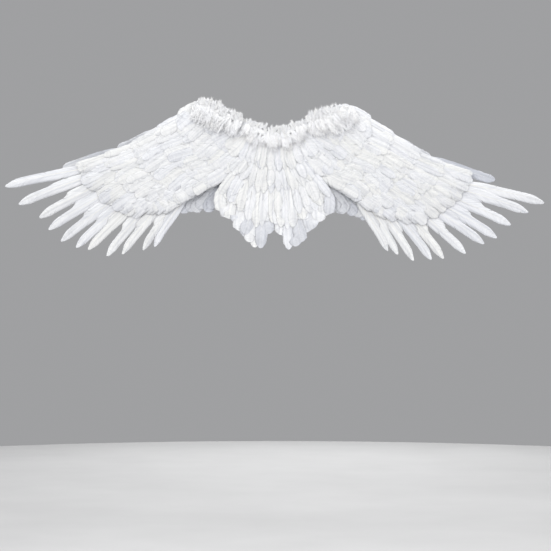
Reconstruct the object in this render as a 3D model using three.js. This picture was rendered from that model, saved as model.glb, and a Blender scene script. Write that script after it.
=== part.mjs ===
// Angel wings: a pair of white feather costume wings on a back panel with two elastic arm loops.
// Millimetres. X runs to the right as seen from behind the wearer and Z is up.
// The feathered face looks towards -Y. The wearer stands on the +Y side of the plane Y = 0,
// which is the rear face of the back panel.
import * as THREE from "three";

// Overall size.
const HALF_SPAN = 795;
const WING_HEIGHT = 480;

// Shape from front to back: how far the tips sweep back and how much the wing bulges.
const TIP_SWEEP = 150;
const SWEEP_START = 50;
const WING_BULGE = 26;
const BULGE_HALF_CHORD = 203;
const BULGE_MID_HEIGHT = 40;
const BULGE_MID_SLOPE = 0.3;
const BULGE_START = 70;
const BULGE_FULL = 290;
const SKIRT_FLARE = 14;
const SKIRT_TOP = -110;
const SKIRT_BOTTOM = -310;

// The left wing hangs a little higher than the right one.
const TILT = 0.026;
const TILT_START = 40;
const TILT_FULL = 160;

// Sheets and clearances.
const CLEARANCE = 0.35;
const PANEL_THICK = 4;
const BASE_THICK = 3;
const FEATHER_THICK = 1.2;
const SHAFT_RIDGE = 0.8;
const PANEL_OUTER = PANEL_THICK;
const BASE_INNER = PANEL_OUTER + CLEARANCE;
const BASE_OUTER = BASE_INNER + BASE_THICK;
const SHEET_CLEARANCE = 0.6;
const ROW_FLOOR = BASE_OUTER + SHEET_CLEARANCE;
const UNDER_CLEARANCE = 1.4;
const UNDER_FLOOR = BASE_INNER - UNDER_CLEARANCE - FEATHER_THICK - SHAFT_RIDGE - CLEARANCE;

// Each feather row stands this much further off the base for each line that it passes.
const LAYER_STEP = 6;
const UNDER_STEP = 2;

// Room for the quills of the long feathers between the base and the outer rows, by line.
const QUILL_ROOM = [
  { line: 2.2, room: 0 },
  { line: 3, room: 2.7 },
  { line: 4, room: 4.9 },
];
const QUILL_ROOM_INSIDE = 172;
const QUILL_ROOM_OUTSIDE = 222;

// The rows across the back lie between the layers of the wing rows, whose edges they cover.
const BACK_RAISE = 2.1;
const BACK_REACH = 1.03;

// Back panel.
const PANEL_HALF_WIDTH = 85;
const PANEL_TOP = 42;
const PANEL_BOTTOM = -150;
const PANEL_CORNER = 26;

// Long feathers.
const PRIMARY_WIDTH = 29;
const PRIMARY_THICK = 1.2;
const PRIMARY_RIDGE = 1;
const RIDGE_TAPER = 0.6;
const PRIMARY_ROLL = 4;
const PRIMARY_LEVEL = BASE_OUTER + SHEET_CLEARANCE;
const ROOT_LIFT = 9;

// Elastic arm loops.
const STRAP_WIDTH = 25;
const STRAP_THICK = 2;
const STRAP_STEPS = 20;
const LOOP_REACH = 142;
const LOOP_HALF_HEIGHT = 117;
const LOOP_MIDDLE = -29;

// Down trim along the top edge.
const TRIM_FLOOR = ROW_FLOOR + FEATHER_THICK + SHAFT_RIDGE + CLEARANCE;
const TRIM_HEIGHT = 20;
const TRIM_HALF_WIDTH = 19;

// Lines across one wing, from the neckline out to the tips of the outermost coverts.
// x is a share of HALF_SPAN and z a share of WING_HEIGHT.
// The five points run from the leading edge to the trailing edge.
const WING_LINES = [
  { line: -1, x: [0.106, 0.102, 0.094, 0.085, 0.072], z: [0.2, 0.191, 0.181, 0.169, 0.153] },
  { line: 0, x: [0.196, 0.192, 0.174, 0.14, 0.091], z: [0.256, 0.194, 0.125, 0.062, 0.019] },
  { line: 1, x: [0.287, 0.279, 0.242, 0.189, 0.113], z: [0.287, 0.181, 0.069, -0.013, -0.062] },
  { line: 2, x: [0.37, 0.351, 0.302, 0.242, 0.158], z: [0.206, 0.081, -0.025, -0.106, -0.15] },
  { line: 3, x: [0.453, 0.43, 0.381, 0.309, 0.215], z: [0.113, 0.006, -0.094, -0.181, -0.269] },
  { line: 4, x: [0.547, 0.521, 0.468, 0.389, 0.287], z: [0.013, -0.081, -0.175, -0.263, -0.294] },
  { line: 5, x: [0.645, 0.623, 0.566, 0.483, 0.351], z: [-0.056, -0.15, -0.25, -0.331, -0.331] },
  { line: 6, x: [0.743, 0.717, 0.649, 0.558, 0.408], z: [-0.119, -0.225, -0.338, -0.419, -0.369] },
];

// Lines across one half of the back, the five points running from the middle out to the wing.
const BACK_LINES = [
  { line: -1, x: [0, 0.019, 0.038, 0.057, 0.072], z: [0.119, 0.122, 0.128, 0.141, 0.153] },
  { line: 0, x: [0, 0.023, 0.045, 0.068, 0.091], z: [0.013, 0.009, 0.006, 0.009, 0.019] },
  { line: 1, x: [0, 0.03, 0.057, 0.087, 0.113], z: [-0.113, -0.113, -0.1, -0.084, -0.062] },
  { line: 2, x: [0, 0.042, 0.079, 0.121, 0.158], z: [-0.256, -0.25, -0.231, -0.194, -0.15] },
  { line: 3, x: [0, 0.049, 0.102, 0.158, 0.215], z: [-0.438, -0.475, -0.425, -0.35, -0.269] },
  { line: 4, x: [0, 0.057, 0.113, 0.162, 0.211], z: [-0.475, -0.631, -0.537, -0.444, -0.369] },
];

// Tips of the long feathers, from the outermost one inwards, and their lengths.
const PRIMARIES = [
  { leftX: 0.998, leftZ: -0.239, rightX: 1.0, rightZ: -0.34, length: 0.377 },
  { leftX: 0.952, leftZ: -0.344, rightX: 0.945, rightZ: -0.394, length: 0.377 },
  { leftX: 0.879, leftZ: -0.426, rightX: 0.883, rightZ: -0.472, length: 0.377 },
  { leftX: 0.847, leftZ: -0.498, rightX: 0.835, rightZ: -0.549, length: 0.377 },
  { leftX: 0.804, leftZ: -0.569, rightX: 0.788, rightZ: -0.588, length: 0.377 },
  { leftX: 0.749, leftZ: -0.607, rightX: 0.72, rightZ: -0.649, length: 0.37 },
  { leftX: 0.705, leftZ: -0.621, rightX: 0.641, rightZ: -0.678, length: 0.362 },
  { leftX: 0.636, leftZ: -0.661, rightX: 0.595, rightZ: -0.685, length: 0.355 },
  { leftX: 0.579, leftZ: -0.649, rightX: 0.529, rightZ: -0.691, length: 0.34 },
  { leftX: 0.5, leftZ: -0.625, rightX: 0.468, rightZ: -0.653, length: 0.32 },
  { leftX: 0.46, leftZ: -0.6, rightX: 0.43, rightZ: -0.63, length: 0.29 },
];

// Where the quills start, from the outermost feather to the innermost.
const QUILL_LINE = [
  { x: 0.634, z: -0.131 },
  { x: 0.525, z: -0.212 },
  { x: 0.415, z: -0.231 },
  { x: 0.294, z: -0.212 },
];

// Half width of a long feather on its leading and trailing side, as shares of PRIMARY_WIDTH.
const VANE = [
  { at: 0, lead: 0.07, trail: 0.07 },
  { at: 0.1, lead: 0.12, trail: 0.14 },
  { at: 0.22, lead: 0.32, trail: 0.5 },
  { at: 0.36, lead: 0.46, trail: 0.66 },
  { at: 0.5, lead: 0.36, trail: 0.66 },
  { at: 0.66, lead: 0.34, trail: 0.66 },
  { at: 0.8, lead: 0.31, trail: 0.6 },
  { at: 0.93, lead: 0.22, trail: 0.4 },
  { at: 1, lead: 0.02, trail: 0.04 },
];

// Outer rows of one wing: from which line the feathers start, where they end, and how many there are.
const COVERT_ROWS = [
  { from: -1, to: 1, count: 9 },
  { from: 0, to: 2, count: 10 },
  { from: 1, to: 3, count: 11 },
  { from: 2, to: 4, count: 12 },
  { from: 3, to: 5, count: 13 },
  { from: 4, to: 6, count: 15 },
];

const COVERT_START = 0.004;
const COVERT_END = 0.994;

// Rows across the back, counted over both halves.
const BACK_ROWS = [
  { from: -1, to: 1, count: 8 },
  { from: 0, to: 2, count: 12 },
  { from: 1, to: 3, count: 14 },
  { from: 2, to: 4, count: 12 },
];

// Rows on the wearer's side of one wing, with how far they reach past the leading edge.
const UNDER_ROWS = [
  { from: 2.6, to: 4.4, start: -0.045, end: 0.97, count: 7 },
  { from: 3.8, to: 5.7, start: -0.045, end: 0.97, count: 8 },
];

// The base of one wing on the same lines. Near the back it reaches past the wing's trailing edge,
// over the back panel, and further out it stays inside that edge.
const WING_BASE = {
  rows: 12,
  columns: 7,
  firstLine: -1,
  lastLine: 5.3,
  lead: 0.05,
  trail: 1.22,
  inset: 0.3,
  insetFrom: 1.2,
  insetTo: 3.7,
};

// The short row that hangs below the trailing edge beside the back:
// the line of its roots and the line of its tips, from the back outwards.
const TRAILING_COUNT = 4;
const TRAILING_ROW = [
  { rootX: 0.126, rootZ: -0.137, tipX: 0.2, tipZ: -0.283 },
  { rootX: 0.15, rootZ: -0.15, tipX: 0.243, tipZ: -0.369 },
  { rootX: 0.182, rootZ: -0.167, tipX: 0.288, tipZ: -0.37 },
  { rootX: 0.225, rootZ: -0.19, tipX: 0.335, tipZ: -0.398 },
  { rootX: 0.27, rootZ: -0.212, tipX: 0.379, tipZ: -0.4 },
];

// Middle of the down trim, the line that its underside clears, its half width and its height.
const SIDE_TRIM = [
  { x: 0.312, z: 0.262, line: 1.1, width: 0.35, height: 0.3 },
  { x: 0.29, z: 0.283, line: 1.1, width: 0.8, height: 0.8 },
  { x: 0.26, z: 0.278, line: 1.1, width: 1, height: 1 },
  { x: 0.225, z: 0.256, line: 0.85, width: 1.05, height: 1.05 },
  { x: 0.19, z: 0.228, line: 0.5, width: 1, height: 1 },
  { x: 0.155, z: 0.206, line: 0.2, width: 0.95, height: 0.9 },
  { x: 0.122, z: 0.19, line: -0.1, width: 0.8, height: 0.7 },
];
const NECK_TRIM = [
  { x: -0.108, z: 0.18, line: -0.57, width: 0.7, height: 0.7 },
  { x: -0.08, z: 0.155, line: -0.57, width: 0.9, height: 0.9 },
  { x: -0.045, z: 0.125, line: -0.57, width: 1, height: 1 },
  { x: 0, z: 0.112, line: -0.57, width: 1, height: 1 },
  { x: 0.045, z: 0.125, line: -0.57, width: 1, height: 1 },
  { x: 0.08, z: 0.155, line: -0.57, width: 0.9, height: 0.9 },
  { x: 0.108, z: 0.18, line: -0.57, width: 0.7, height: 0.7 },
];

// Cross-section of the trim, as shares of its half width and its height.
const TRIM_ACROSS = [
  { at: -1, height: 0.1 },
  { at: -0.6, height: 0.75 },
  { at: 0, height: 1 },
  { at: 0.6, height: 0.75 },
  { at: 1, height: 0.1 },
];
const TRIM_STEPS = 14;

// Locks of the trim stand out or lie back by turns, with a little variation.
const LOCK_OUT = 1.14;
const LOCK_IN = 0.84;
const LOCK_REACH_VARIATION = 0.08;
const LOCK_RISE_VARIATION = 0.1;

// Outline of one feather in a row: place across the feather, place along it, and share of the ridge.
const FEATHER_TIP = [
  { across: 0.2, along: 0.985, ridge: 0.5 },
  { across: 0.5, along: 1.02, ridge: 1 },
  { across: 0.8, along: 0.985, ridge: 0.5 },
];
const FEATHER_MIDDLE = 0.6;
const FEATHER_NOTCH = 0.917;
const NOTCH_VARIATION = 0.015;
const TIP_VARIATION = 0.035;
const LEAN_VARIATION = 0.06;
const ROOT_RIDGE = 0.3;

// Path of the right arm loop, from the top of the panel round the arm to its foot.
// x is a share of PANEL_HALF_WIDTH, y of LOOP_REACH, and z of LOOP_HALF_HEIGHT from LOOP_MIDDLE.
const STRAP_PATH = [
  { x: 0.729, y: 0.01, z: 0.282 },
  { x: 0.741, y: 0.01, z: 0.504 },
  { x: 0.8, y: 0.127, z: 0.812 },
  { x: 0.941, y: 0.437, z: 1 },
  { x: 1.129, y: 0.789, z: 0.778 },
  { x: 1.271, y: 1, z: 0.265 },
  { x: 1.318, y: 0.93, z: -0.35 },
  { x: 1.224, y: 0.592, z: -0.846 },
  { x: 1.012, y: 0.211, z: -1 },
  { x: 0.835, y: 0.01, z: -0.846 },
  { x: 0.812, y: 0.01, z: -0.607 },
];

const WHITE = { color: 0xf4f5f8, roughness: 0.85, metalness: 0 };
const COOL_WHITE = { color: 0xd9dde6, roughness: 0.85, metalness: 0 };
const FELT = { color: 0xe6e4df, roughness: 0.95, metalness: 0 };
const ELASTIC = { color: 0xf0f0ee, roughness: 0.8, metalness: 0 };

function smooth(from, to, value) {
  return THREE.MathUtils.smoothstep(value, from, to);
}

// A repeatable small variation between -1 and 1.
function vary(a, b) {
  const wave = Math.sin(a * 12.9898 + b * 78.233) * 437.585;
  return 2 * (wave - Math.floor(wave)) - 1;
}

// A point on a smooth line through the points, run on straight past either end.
function alongLine(points, t) {
  const curve = new THREE.SplineCurve(points);
  const edge = 0.01;
  if (t < 0) {
    const start = curve.getPoint(0);
    const next = curve.getPoint(edge);
    return start.clone().addScaledVector(next.sub(start), t / edge);
  }
  if (t > 1) {
    const end = curve.getPoint(1);
    const before = curve.getPoint(1 - edge);
    return end.clone().addScaledVector(end.clone().sub(before), (t - 1) / edge);
  }
  return curve.getPoint(t);
}

// The point at a line number and a share of the way across, on the plan seen from behind the wearer.
function onField(lines, line, across) {
  const column = lines.map((row) => {
    const points = row.x.map((x, i) => new THREE.Vector2(x * HALF_SPAN, row.z[i] * WING_HEIGHT));
    return alongLine(points, across);
  });
  return alongLine(column, (line - lines[0].line) / (lines.length - 1));
}

// How far the wing's base surface lies behind the plane of the back panel.
function surfaceDepth(x, z) {
  const out = Math.abs(x);
  const sweep = TIP_SWEEP * (Math.max(0, out - SWEEP_START) / (HALF_SPAN - SWEEP_START)) ** 2;
  const middle = BULGE_MID_HEIGHT - BULGE_MID_SLOPE * (out - BULGE_FULL);
  const chord = (z - middle) / BULGE_HALF_CHORD;
  const bulge = WING_BULGE * smooth(BULGE_START, BULGE_FULL, out) * Math.exp(-chord * chord);
  const skirt = (1 - smooth(BULGE_START, BULGE_FULL, out)) * smooth(-SKIRT_TOP, -SKIRT_BOTTOM, -z);
  return sweep + bulge + SKIRT_FLARE * skirt;
}

function tiltDrop(x) {
  return -TILT * x * smooth(TILT_START, TILT_FULL, Math.abs(x));
}

// Puts a plan point at a height above the base surface.
function place(x, z, height) {
  return new THREE.Vector3(x, -(surfaceDepth(x, z) + height), z);
}

// One closed solid between two sheets of points that share their triangles.
function thicken(outer, inner, triangles) {
  const count = outer.length;
  const faces = [];
  const used = new Map();
  for (const [a, b, c] of triangles) {
    faces.push(a, b, c, count + a, count + c, count + b);
    for (const [p, q] of [[a, b], [b, c], [c, a]]) used.set(`${p}_${q}`, [p, q]);
  }
  for (const [p, q] of used.values()) {
    if (used.has(`${q}_${p}`)) continue;
    faces.push(q, p, count + p, q, count + p, count + q);
  }
  const all = outer.concat(inner);
  let volume = 0;
  for (let i = 0; i < faces.length; i += 3) {
    const [a, b, c] = [all[faces[i]], all[faces[i + 1]], all[faces[i + 2]]];
    volume += a.dot(new THREE.Vector3().crossVectors(b, c));
  }
  if (volume < 0) {
    for (let i = 0; i < faces.length; i += 3) {
      [faces[i + 1], faces[i + 2]] = [faces[i + 2], faces[i + 1]];
    }
  }
  const geometry = new THREE.BufferGeometry().setFromPoints(all);
  geometry.setIndex(faces);
  geometry.computeVertexNormals();
  return geometry;
}

function gridTriangles(rows, columns) {
  const triangles = [];
  for (let i = 0; i < rows - 1; i += 1) {
    for (let j = 0; j < columns - 1; j += 1) {
      const a = i * columns + j;
      const b = a + columns;
      triangles.push([a, a + 1, b + 1], [a, b + 1, b]);
    }
  }
  return triangles;
}

// A sheet of joined feathers: a straight root edge, a ridge on each shaft and a rounded tip on each feather.
// spot(across, along) gives the plan point and level(along, x) the height of the sheet's near face.
// face is 1 where the feathers look away from the wearer and -1 where they look at the wearer.
function featherSheet({ count, seed, spot, level, face }) {
  const outer = [];
  const inner = [];
  const add = (across, along, ridge) => {
    const plan = spot(across, along);
    const near = level(along, plan.x) + face * ridge;
    inner.push(place(plan.x, plan.y, near));
    outer.push(place(plan.x, plan.y, near + face * FEATHER_THICK));
    return outer.length - 1;
  };
  const root = [];
  const middle = [];
  for (let i = 0; i <= 2 * count; i += 1) {
    const across = i / (2 * count);
    const ridge = i % 2 === 1 ? SHAFT_RIDGE : 0;
    root.push(add(across, 0, ROOT_RIDGE * ridge));
    middle.push(add(across, FEATHER_MIDDLE, ridge));
  }
  const triangles = [];
  let notch = add(0, FEATHER_NOTCH, 0);
  for (let i = 0; i < count; i += 1) {
    const reach = TIP_VARIATION * vary(i, seed);
    const lean = LEAN_VARIATION * vary(seed, i);
    const [left, tip, right] = FEATHER_TIP.map((p) =>
      add((i + p.across + lean * p.ridge) / count, p.along + reach, p.ridge * SHAFT_RIDGE),
    );
    const nextNotch = add((i + 1) / count, FEATHER_NOTCH + NOTCH_VARIATION * vary(i + 0.5, seed), 0);
    const [r0, r1, r2] = root.slice(2 * i, 2 * i + 3);
    const [m0, m1, m2] = middle.slice(2 * i, 2 * i + 3);
    triangles.push([r0, r1, m1], [r0, m1, m0], [r1, r2, m2], [r1, m2, m1]);
    triangles.push([m0, left, notch], [m0, m1, left], [m1, tip, left]);
    triangles.push([m1, right, tip], [m1, m2, right], [m2, nextNotch, right]);
    notch = nextNotch;
  }
  return thicken(outer, inner, triangles);
}

function quillRoom(line, x) {
  const [start, middle, end] = QUILL_ROOM;
  const first = middle.room * smooth(start.line, middle.line, line);
  const second = (end.room - middle.room) * smooth(middle.line, end.line, line);
  return (first + second) * smooth(QUILL_ROOM_INSIDE, QUILL_ROOM_OUTSIDE, Math.abs(x));
}

function covertRow(side, row, seed) {
  const lineAt = (along) => row.from + (row.to - row.from) * along;
  return featherSheet({
    count: row.count,
    seed: seed + side,
    face: 1,
    spot: (across, along) => {
      const plan = onField(WING_LINES, lineAt(along), COVERT_START + (COVERT_END - COVERT_START) * across);
      const x = side * plan.x;
      return new THREE.Vector2(x, plan.y + tiltDrop(x));
    },
    level: (along, x) =>
      ROW_FLOOR + LAYER_STEP * (lineAt(along) - row.from) + quillRoom(lineAt(along), x),
  });
}

function backRow(row, seed) {
  const lineAt = (along) => row.from + (row.to - row.from) * along;
  return featherSheet({
    count: row.count,
    seed,
    face: 1,
    spot: (across, along) => {
      const half = 2 * across - 1;
      const plan = onField(BACK_LINES, lineAt(along), BACK_REACH * Math.abs(half));
      const x = Math.sign(half) * plan.x;
      return new THREE.Vector2(x, plan.y + tiltDrop(x));
    },
    level: (along) => ROW_FLOOR + BACK_RAISE + LAYER_STEP * (lineAt(along) - row.from),
  });
}

function underRow(side, row, seed) {
  const lineAt = (along) => row.from + (row.to - row.from) * along;
  return featherSheet({
    count: row.count,
    seed: seed + side,
    face: -1,
    spot: (across, along) => {
      const start = row.start * along;
      const plan = onField(WING_LINES, lineAt(along), start + (row.end - start) * across);
      const x = side * plan.x;
      return new THREE.Vector2(x, plan.y + tiltDrop(x));
    },
    level: (along) =>
      UNDER_FLOOR - UNDER_STEP * (lineAt(along) - row.from),
  });
}

function trailingRow(side, seed) {
  const roots = TRAILING_ROW.map((p) => new THREE.Vector2(p.rootX * HALF_SPAN, p.rootZ * WING_HEIGHT));
  const tips = TRAILING_ROW.map((p) => new THREE.Vector2(p.tipX * HALF_SPAN, p.tipZ * WING_HEIGHT));
  return featherSheet({
    count: TRAILING_COUNT,
    seed: seed + side,
    face: -1,
    spot: (across, along) => {
      const plan = alongLine(roots, across).lerp(alongLine(tips, across), along);
      const x = side * plan.x;
      return new THREE.Vector2(x, plan.y + tiltDrop(x));
    },
    level: () => BASE_INNER - UNDER_CLEARANCE,
  });
}

// One long feather: a thin vane, wider behind its shaft, that tapers to a quill at the root.
function primary(side, row, index) {
  const tipX = side * (side < 0 ? row.leftX : row.rightX) * HALF_SPAN;
  const tipZ = (side < 0 ? row.leftZ : row.rightZ) * WING_HEIGHT;
  const line = QUILL_LINE.map((p) => new THREE.Vector2(p.x * HALF_SPAN, p.z * WING_HEIGHT));
  const start = alongLine(line, index / (PRIMARIES.length - 1));
  const x = side * start.x;
  const aim = new THREE.Vector2(x, start.y + tiltDrop(x) - side * ROOT_LIFT);
  const tip = new THREE.Vector2(tipX, tipZ);
  const away = tip.clone().sub(aim).normalize();
  const root = tip.clone().addScaledVector(away, -row.length * HALF_SPAN);
  // Sideways is towards the leading edge.
  const sideways = new THREE.Vector2(-away.y, away.x).multiplyScalar(side);
  const outer = [];
  const inner = [];
  for (const station of VANE) {
    const middle = root.clone().lerp(tip, station.at);
    const columns = [
      { offset: station.lead, level: PRIMARY_ROLL * station.lead, ridge: 0 },
      { offset: 0, level: 0, ridge: PRIMARY_RIDGE * (1 - RIDGE_TAPER * station.at) },
      { offset: -station.trail, level: -PRIMARY_ROLL * station.trail, ridge: 0 },
    ];
    for (const column of columns) {
      const spot = middle.clone().addScaledVector(sideways, column.offset * PRIMARY_WIDTH);
      const near = PRIMARY_LEVEL + PRIMARY_ROLL * station.trail + column.level;
      inner.push(place(spot.x, spot.y, near));
      outer.push(place(spot.x, spot.y, near + PRIMARY_THICK + column.ridge));
    }
  }
  return thicken(outer, inner, gridTriangles(VANE.length, 3));
}

// The stiff felt base that the feathers of one wing are fixed to.
function wingBase(side) {
  const outer = [];
  const inner = [];
  const { rows, columns, firstLine, lastLine, lead, trail, inset, insetFrom, insetTo } = WING_BASE;
  for (let i = 0; i < rows; i += 1) {
    for (let j = 0; j < columns; j += 1) {
      const line = firstLine + (lastLine - firstLine) * (i / (rows - 1));
      const end = trail - inset * smooth(insetFrom, insetTo, line);
      const plan = onField(WING_LINES, line, lead + (end - lead) * (j / (columns - 1)));
      const x = side * plan.x;
      const z = plan.y + tiltDrop(x);
      inner.push(place(x, z, BASE_INNER));
      outer.push(place(x, z, BASE_OUTER));
    }
  }
  return thicken(outer, inner, gridTriangles(rows, columns));
}

// The flat panel that lies against the wearer's back.
function backPanel() {
  const w = PANEL_HALF_WIDTH;
  const r = PANEL_CORNER;
  const shape = new THREE.Shape();
  shape.moveTo(-w + r, PANEL_BOTTOM);
  shape.lineTo(w - r, PANEL_BOTTOM);
  shape.quadraticCurveTo(w, PANEL_BOTTOM, w, PANEL_BOTTOM + r);
  shape.lineTo(w, PANEL_TOP - r);
  shape.quadraticCurveTo(w, PANEL_TOP, w - r, PANEL_TOP);
  shape.lineTo(-w + r, PANEL_TOP);
  shape.quadraticCurveTo(-w, PANEL_TOP, -w, PANEL_TOP - r);
  shape.lineTo(-w, PANEL_BOTTOM + r);
  shape.quadraticCurveTo(-w, PANEL_BOTTOM, -w + r, PANEL_BOTTOM);
  const geometry = new THREE.ExtrudeGeometry(shape, {
    depth: PANEL_THICK,
    bevelEnabled: false,
    curveSegments: 5,
  });
  // The shape's Y becomes Z, and the thickness runs from Y = 0 to Y = -PANEL_THICK.
  geometry.rotateX(Math.PI / 2);
  return geometry;
}

// A loop of flat elastic tape, its width along X, sewn to the panel at both ends.
function armLoop(side) {
  const curve = new THREE.CatmullRomCurve3(
    STRAP_PATH.map((p) => {
      const z = LOOP_MIDDLE + LOOP_HALF_HEIGHT * p.z;
      return new THREE.Vector3(side * PANEL_HALF_WIDTH * p.x, LOOP_REACH * p.y, z);
    }),
    false,
    "centripetal",
  );
  const outer = [];
  const inner = [];
  for (let i = 0; i <= STRAP_STEPS; i += 1) {
    const t = i / STRAP_STEPS;
    const spot = curve.getPoint(t);
    spot.y = Math.max(spot.y, STRAP_THICK / 2 + CLEARANCE);
    const way = curve.getTangent(t);
    const out = new THREE.Vector3(0, way.z, -way.y).normalize();
    for (const edge of [-0.5, 0.5]) {
      const at = spot.clone().add(new THREE.Vector3(edge * STRAP_WIDTH, 0, 0));
      outer.push(at.clone().addScaledVector(out, STRAP_THICK / 2));
      inner.push(at.clone().addScaledVector(out, -STRAP_THICK / 2));
    }
  }
  return thicken(outer, inner, gridTriangles(STRAP_STEPS + 1, 2));
}

// A band of down whose locks stand out along both edges and over the top.
function downTrim(side, table, raise, seed) {
  const column = (name) => table.map((p, i) => new THREE.Vector2(i, p[name]));
  const outer = [];
  const inner = [];
  const middle = (t) => {
    const plan = alongLine(table.map((p) => new THREE.Vector2(p.x * HALF_SPAN, p.z * WING_HEIGHT)), t);
    const x = side * plan.x;
    return new THREE.Vector2(x, plan.y + tiltDrop(x));
  };
  for (let i = 0; i < TRIM_STEPS; i += 1) {
    const t = i / (TRIM_STEPS - 1);
    const spot = middle(t);
    const way = middle(t + 0.01).sub(middle(t - 0.01)).normalize();
    const sideways = new THREE.Vector2(-way.y, way.x);
    const width = TRIM_HALF_WIDTH * alongLine(column("width"), t).y;
    const height = TRIM_HEIGHT * alongLine(column("height"), t).y;
    const floor = TRIM_FLOOR + raise + LAYER_STEP * (alongLine(column("line"), t).y + 1);
    TRIM_ACROSS.forEach((lock, j) => {
      const standing = (i + j) % 2 === 0 ? LOCK_OUT : LOCK_IN;
      const reach = width * lock.at * (standing + LOCK_REACH_VARIATION * vary(i, seed + j));
      const rise = height * lock.height * (standing + LOCK_RISE_VARIATION * vary(seed - j, i));
      const at = spot.clone().addScaledVector(sideways, reach);
      inner.push(place(at.x, at.y, floor));
      outer.push(place(at.x, at.y, floor + rise));
    });
  }
  return thicken(outer, inner, gridTriangles(TRIM_STEPS, TRIM_ACROSS.length));
}

const wings = new THREE.Group();
wings.name = "angel_wings";

function addNode(name, geometry, look) {
  const mesh = new THREE.Mesh(geometry, new THREE.MeshStandardMaterial(look));
  mesh.name = name;
  wings.add(mesh);
}

addNode("back_panel", backPanel(), FELT);
BACK_ROWS.forEach((row, i) => addNode(`back_row_${i + 1}`, backRow(row, 20 + i), WHITE));
addNode("neck_down", downTrim(1, NECK_TRIM, BACK_RAISE, 5), WHITE);
for (const { word, side } of [
  { word: "left", side: -1 },
  { word: "right", side: 1 },
]) {
  addNode(`wing_base_${word}`, wingBase(side), FELT);
  PRIMARIES.forEach((row, i) => addNode(`primary_${word}_${i + 1}`, primary(side, row, i), WHITE));
  COVERT_ROWS.forEach((row, i) => addNode(`coverts_${word}_${i + 1}`, covertRow(side, row, i), WHITE));
  UNDER_ROWS.forEach((row, i) => {
    addNode(`under_row_${word}_${i + 1}`, underRow(side, row, 40 + i), COOL_WHITE);
  });
  addNode(`trailing_row_${word}`, trailingRow(side, 60), COOL_WHITE);
  addNode(`down_trim_${word}`, downTrim(side, SIDE_TRIM, 0, 9 + side), WHITE);
  addNode(`arm_loop_${word}`, armLoop(side), ELASTIC);
}

export default wings;
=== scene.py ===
import math

import bpy
import numpy as np
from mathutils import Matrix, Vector


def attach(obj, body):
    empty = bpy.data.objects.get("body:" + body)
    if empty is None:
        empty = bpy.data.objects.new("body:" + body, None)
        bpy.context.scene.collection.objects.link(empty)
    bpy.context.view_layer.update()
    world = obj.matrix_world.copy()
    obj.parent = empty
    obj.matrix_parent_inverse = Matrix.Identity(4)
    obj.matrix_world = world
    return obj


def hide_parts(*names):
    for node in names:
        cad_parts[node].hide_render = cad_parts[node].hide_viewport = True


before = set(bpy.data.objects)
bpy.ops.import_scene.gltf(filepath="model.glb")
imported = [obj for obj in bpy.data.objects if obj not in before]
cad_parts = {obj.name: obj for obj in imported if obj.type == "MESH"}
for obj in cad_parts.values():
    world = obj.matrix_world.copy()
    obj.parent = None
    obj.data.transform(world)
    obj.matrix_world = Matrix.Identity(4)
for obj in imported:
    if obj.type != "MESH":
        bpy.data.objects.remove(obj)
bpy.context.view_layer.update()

# Angel wings in single feathers, down, felt and elastic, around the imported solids.
# Lengths are in millimetres, as in the part's source, until a mesh is made.
# A feather's share runs from 0 at its root to 1 at its tip.
MM = 0.001
# The direction away from the wearer.
OUT = np.array([0, -1.0, 0])

# The wing's surface, as in the part's source.
HALF_SPAN = 795
WING_HEIGHT = 480
TIP_SWEEP = 150
SWEEP_START = 50
WING_BULGE = 26
BULGE_HALF_CHORD = 203
BULGE_MID_HEIGHT = 40
BULGE_MID_SLOPE = 0.3
BULGE_START = 70
BULGE_FULL = 290
SKIRT_FLARE = 14
SKIRT_TOP = -110
SKIRT_BOTTOM = -310
TILT = 0.026
TILT_START = 40
TILT_FULL = 160

# Levels of the layers, as in the part's source.
CLEARANCE = 0.35
PANEL_THICK = 4
BASE_THICK = 3
BASE_INNER = PANEL_THICK + CLEARANCE
BASE_OUTER = BASE_INNER + BASE_THICK
FEATHER_THICK = 1.2
SHAFT_RIDGE = 0.8
BASE_CLEARANCE = 0.6
UNDER_CLEARANCE = 1.4
ROW_FLOOR = BASE_OUTER + BASE_CLEARANCE
TRAILING_LEVEL = BASE_INNER - UNDER_CLEARANCE
UNDER_FLOOR = TRAILING_LEVEL - FEATHER_THICK - SHAFT_RIDGE - CLEARANCE
LAYER_STEP = 6
UNDER_STEP = 2
# Room over the quills of the long feathers: it starts, steps and ends on these lines.
QUILL_ROOM_LINES = (2.2, 3, 4)
QUILL_ROOM_HEIGHTS = (2.7, 4.9)
QUILL_ROOM_INSIDE = 172
QUILL_ROOM_OUTSIDE = 222
BACK_RAISE = 2.1
BACK_REACH = 1.03
TRIM_FLOOR = ROW_FLOOR + FEATHER_THICK + SHAFT_RIDGE + CLEARANCE
TRIM_HEIGHT = 20
TRIM_HALF_WIDTH = 19

# Lines across one wing and one half of the back, from line -1 on: x shares of the half span,
# z shares of the wing's height.
WING_LINES = [
    ((0.106, 0.102, 0.094, 0.085, 0.072), (0.2, 0.191, 0.181, 0.169, 0.153)),
    ((0.196, 0.192, 0.174, 0.14, 0.091), (0.256, 0.194, 0.125, 0.062, 0.019)),
    ((0.287, 0.279, 0.242, 0.189, 0.113), (0.287, 0.181, 0.069, -0.013, -0.062)),
    ((0.37, 0.351, 0.302, 0.242, 0.158), (0.206, 0.081, -0.025, -0.106, -0.15)),
    ((0.453, 0.43, 0.381, 0.309, 0.215), (0.113, 0.006, -0.094, -0.181, -0.269)),
    ((0.547, 0.521, 0.468, 0.389, 0.287), (0.013, -0.081, -0.175, -0.263, -0.294)),
    ((0.645, 0.623, 0.566, 0.483, 0.351), (-0.056, -0.15, -0.25, -0.331, -0.331)),
    ((0.743, 0.717, 0.649, 0.558, 0.408), (-0.119, -0.225, -0.338, -0.419, -0.369)),
]
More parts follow.
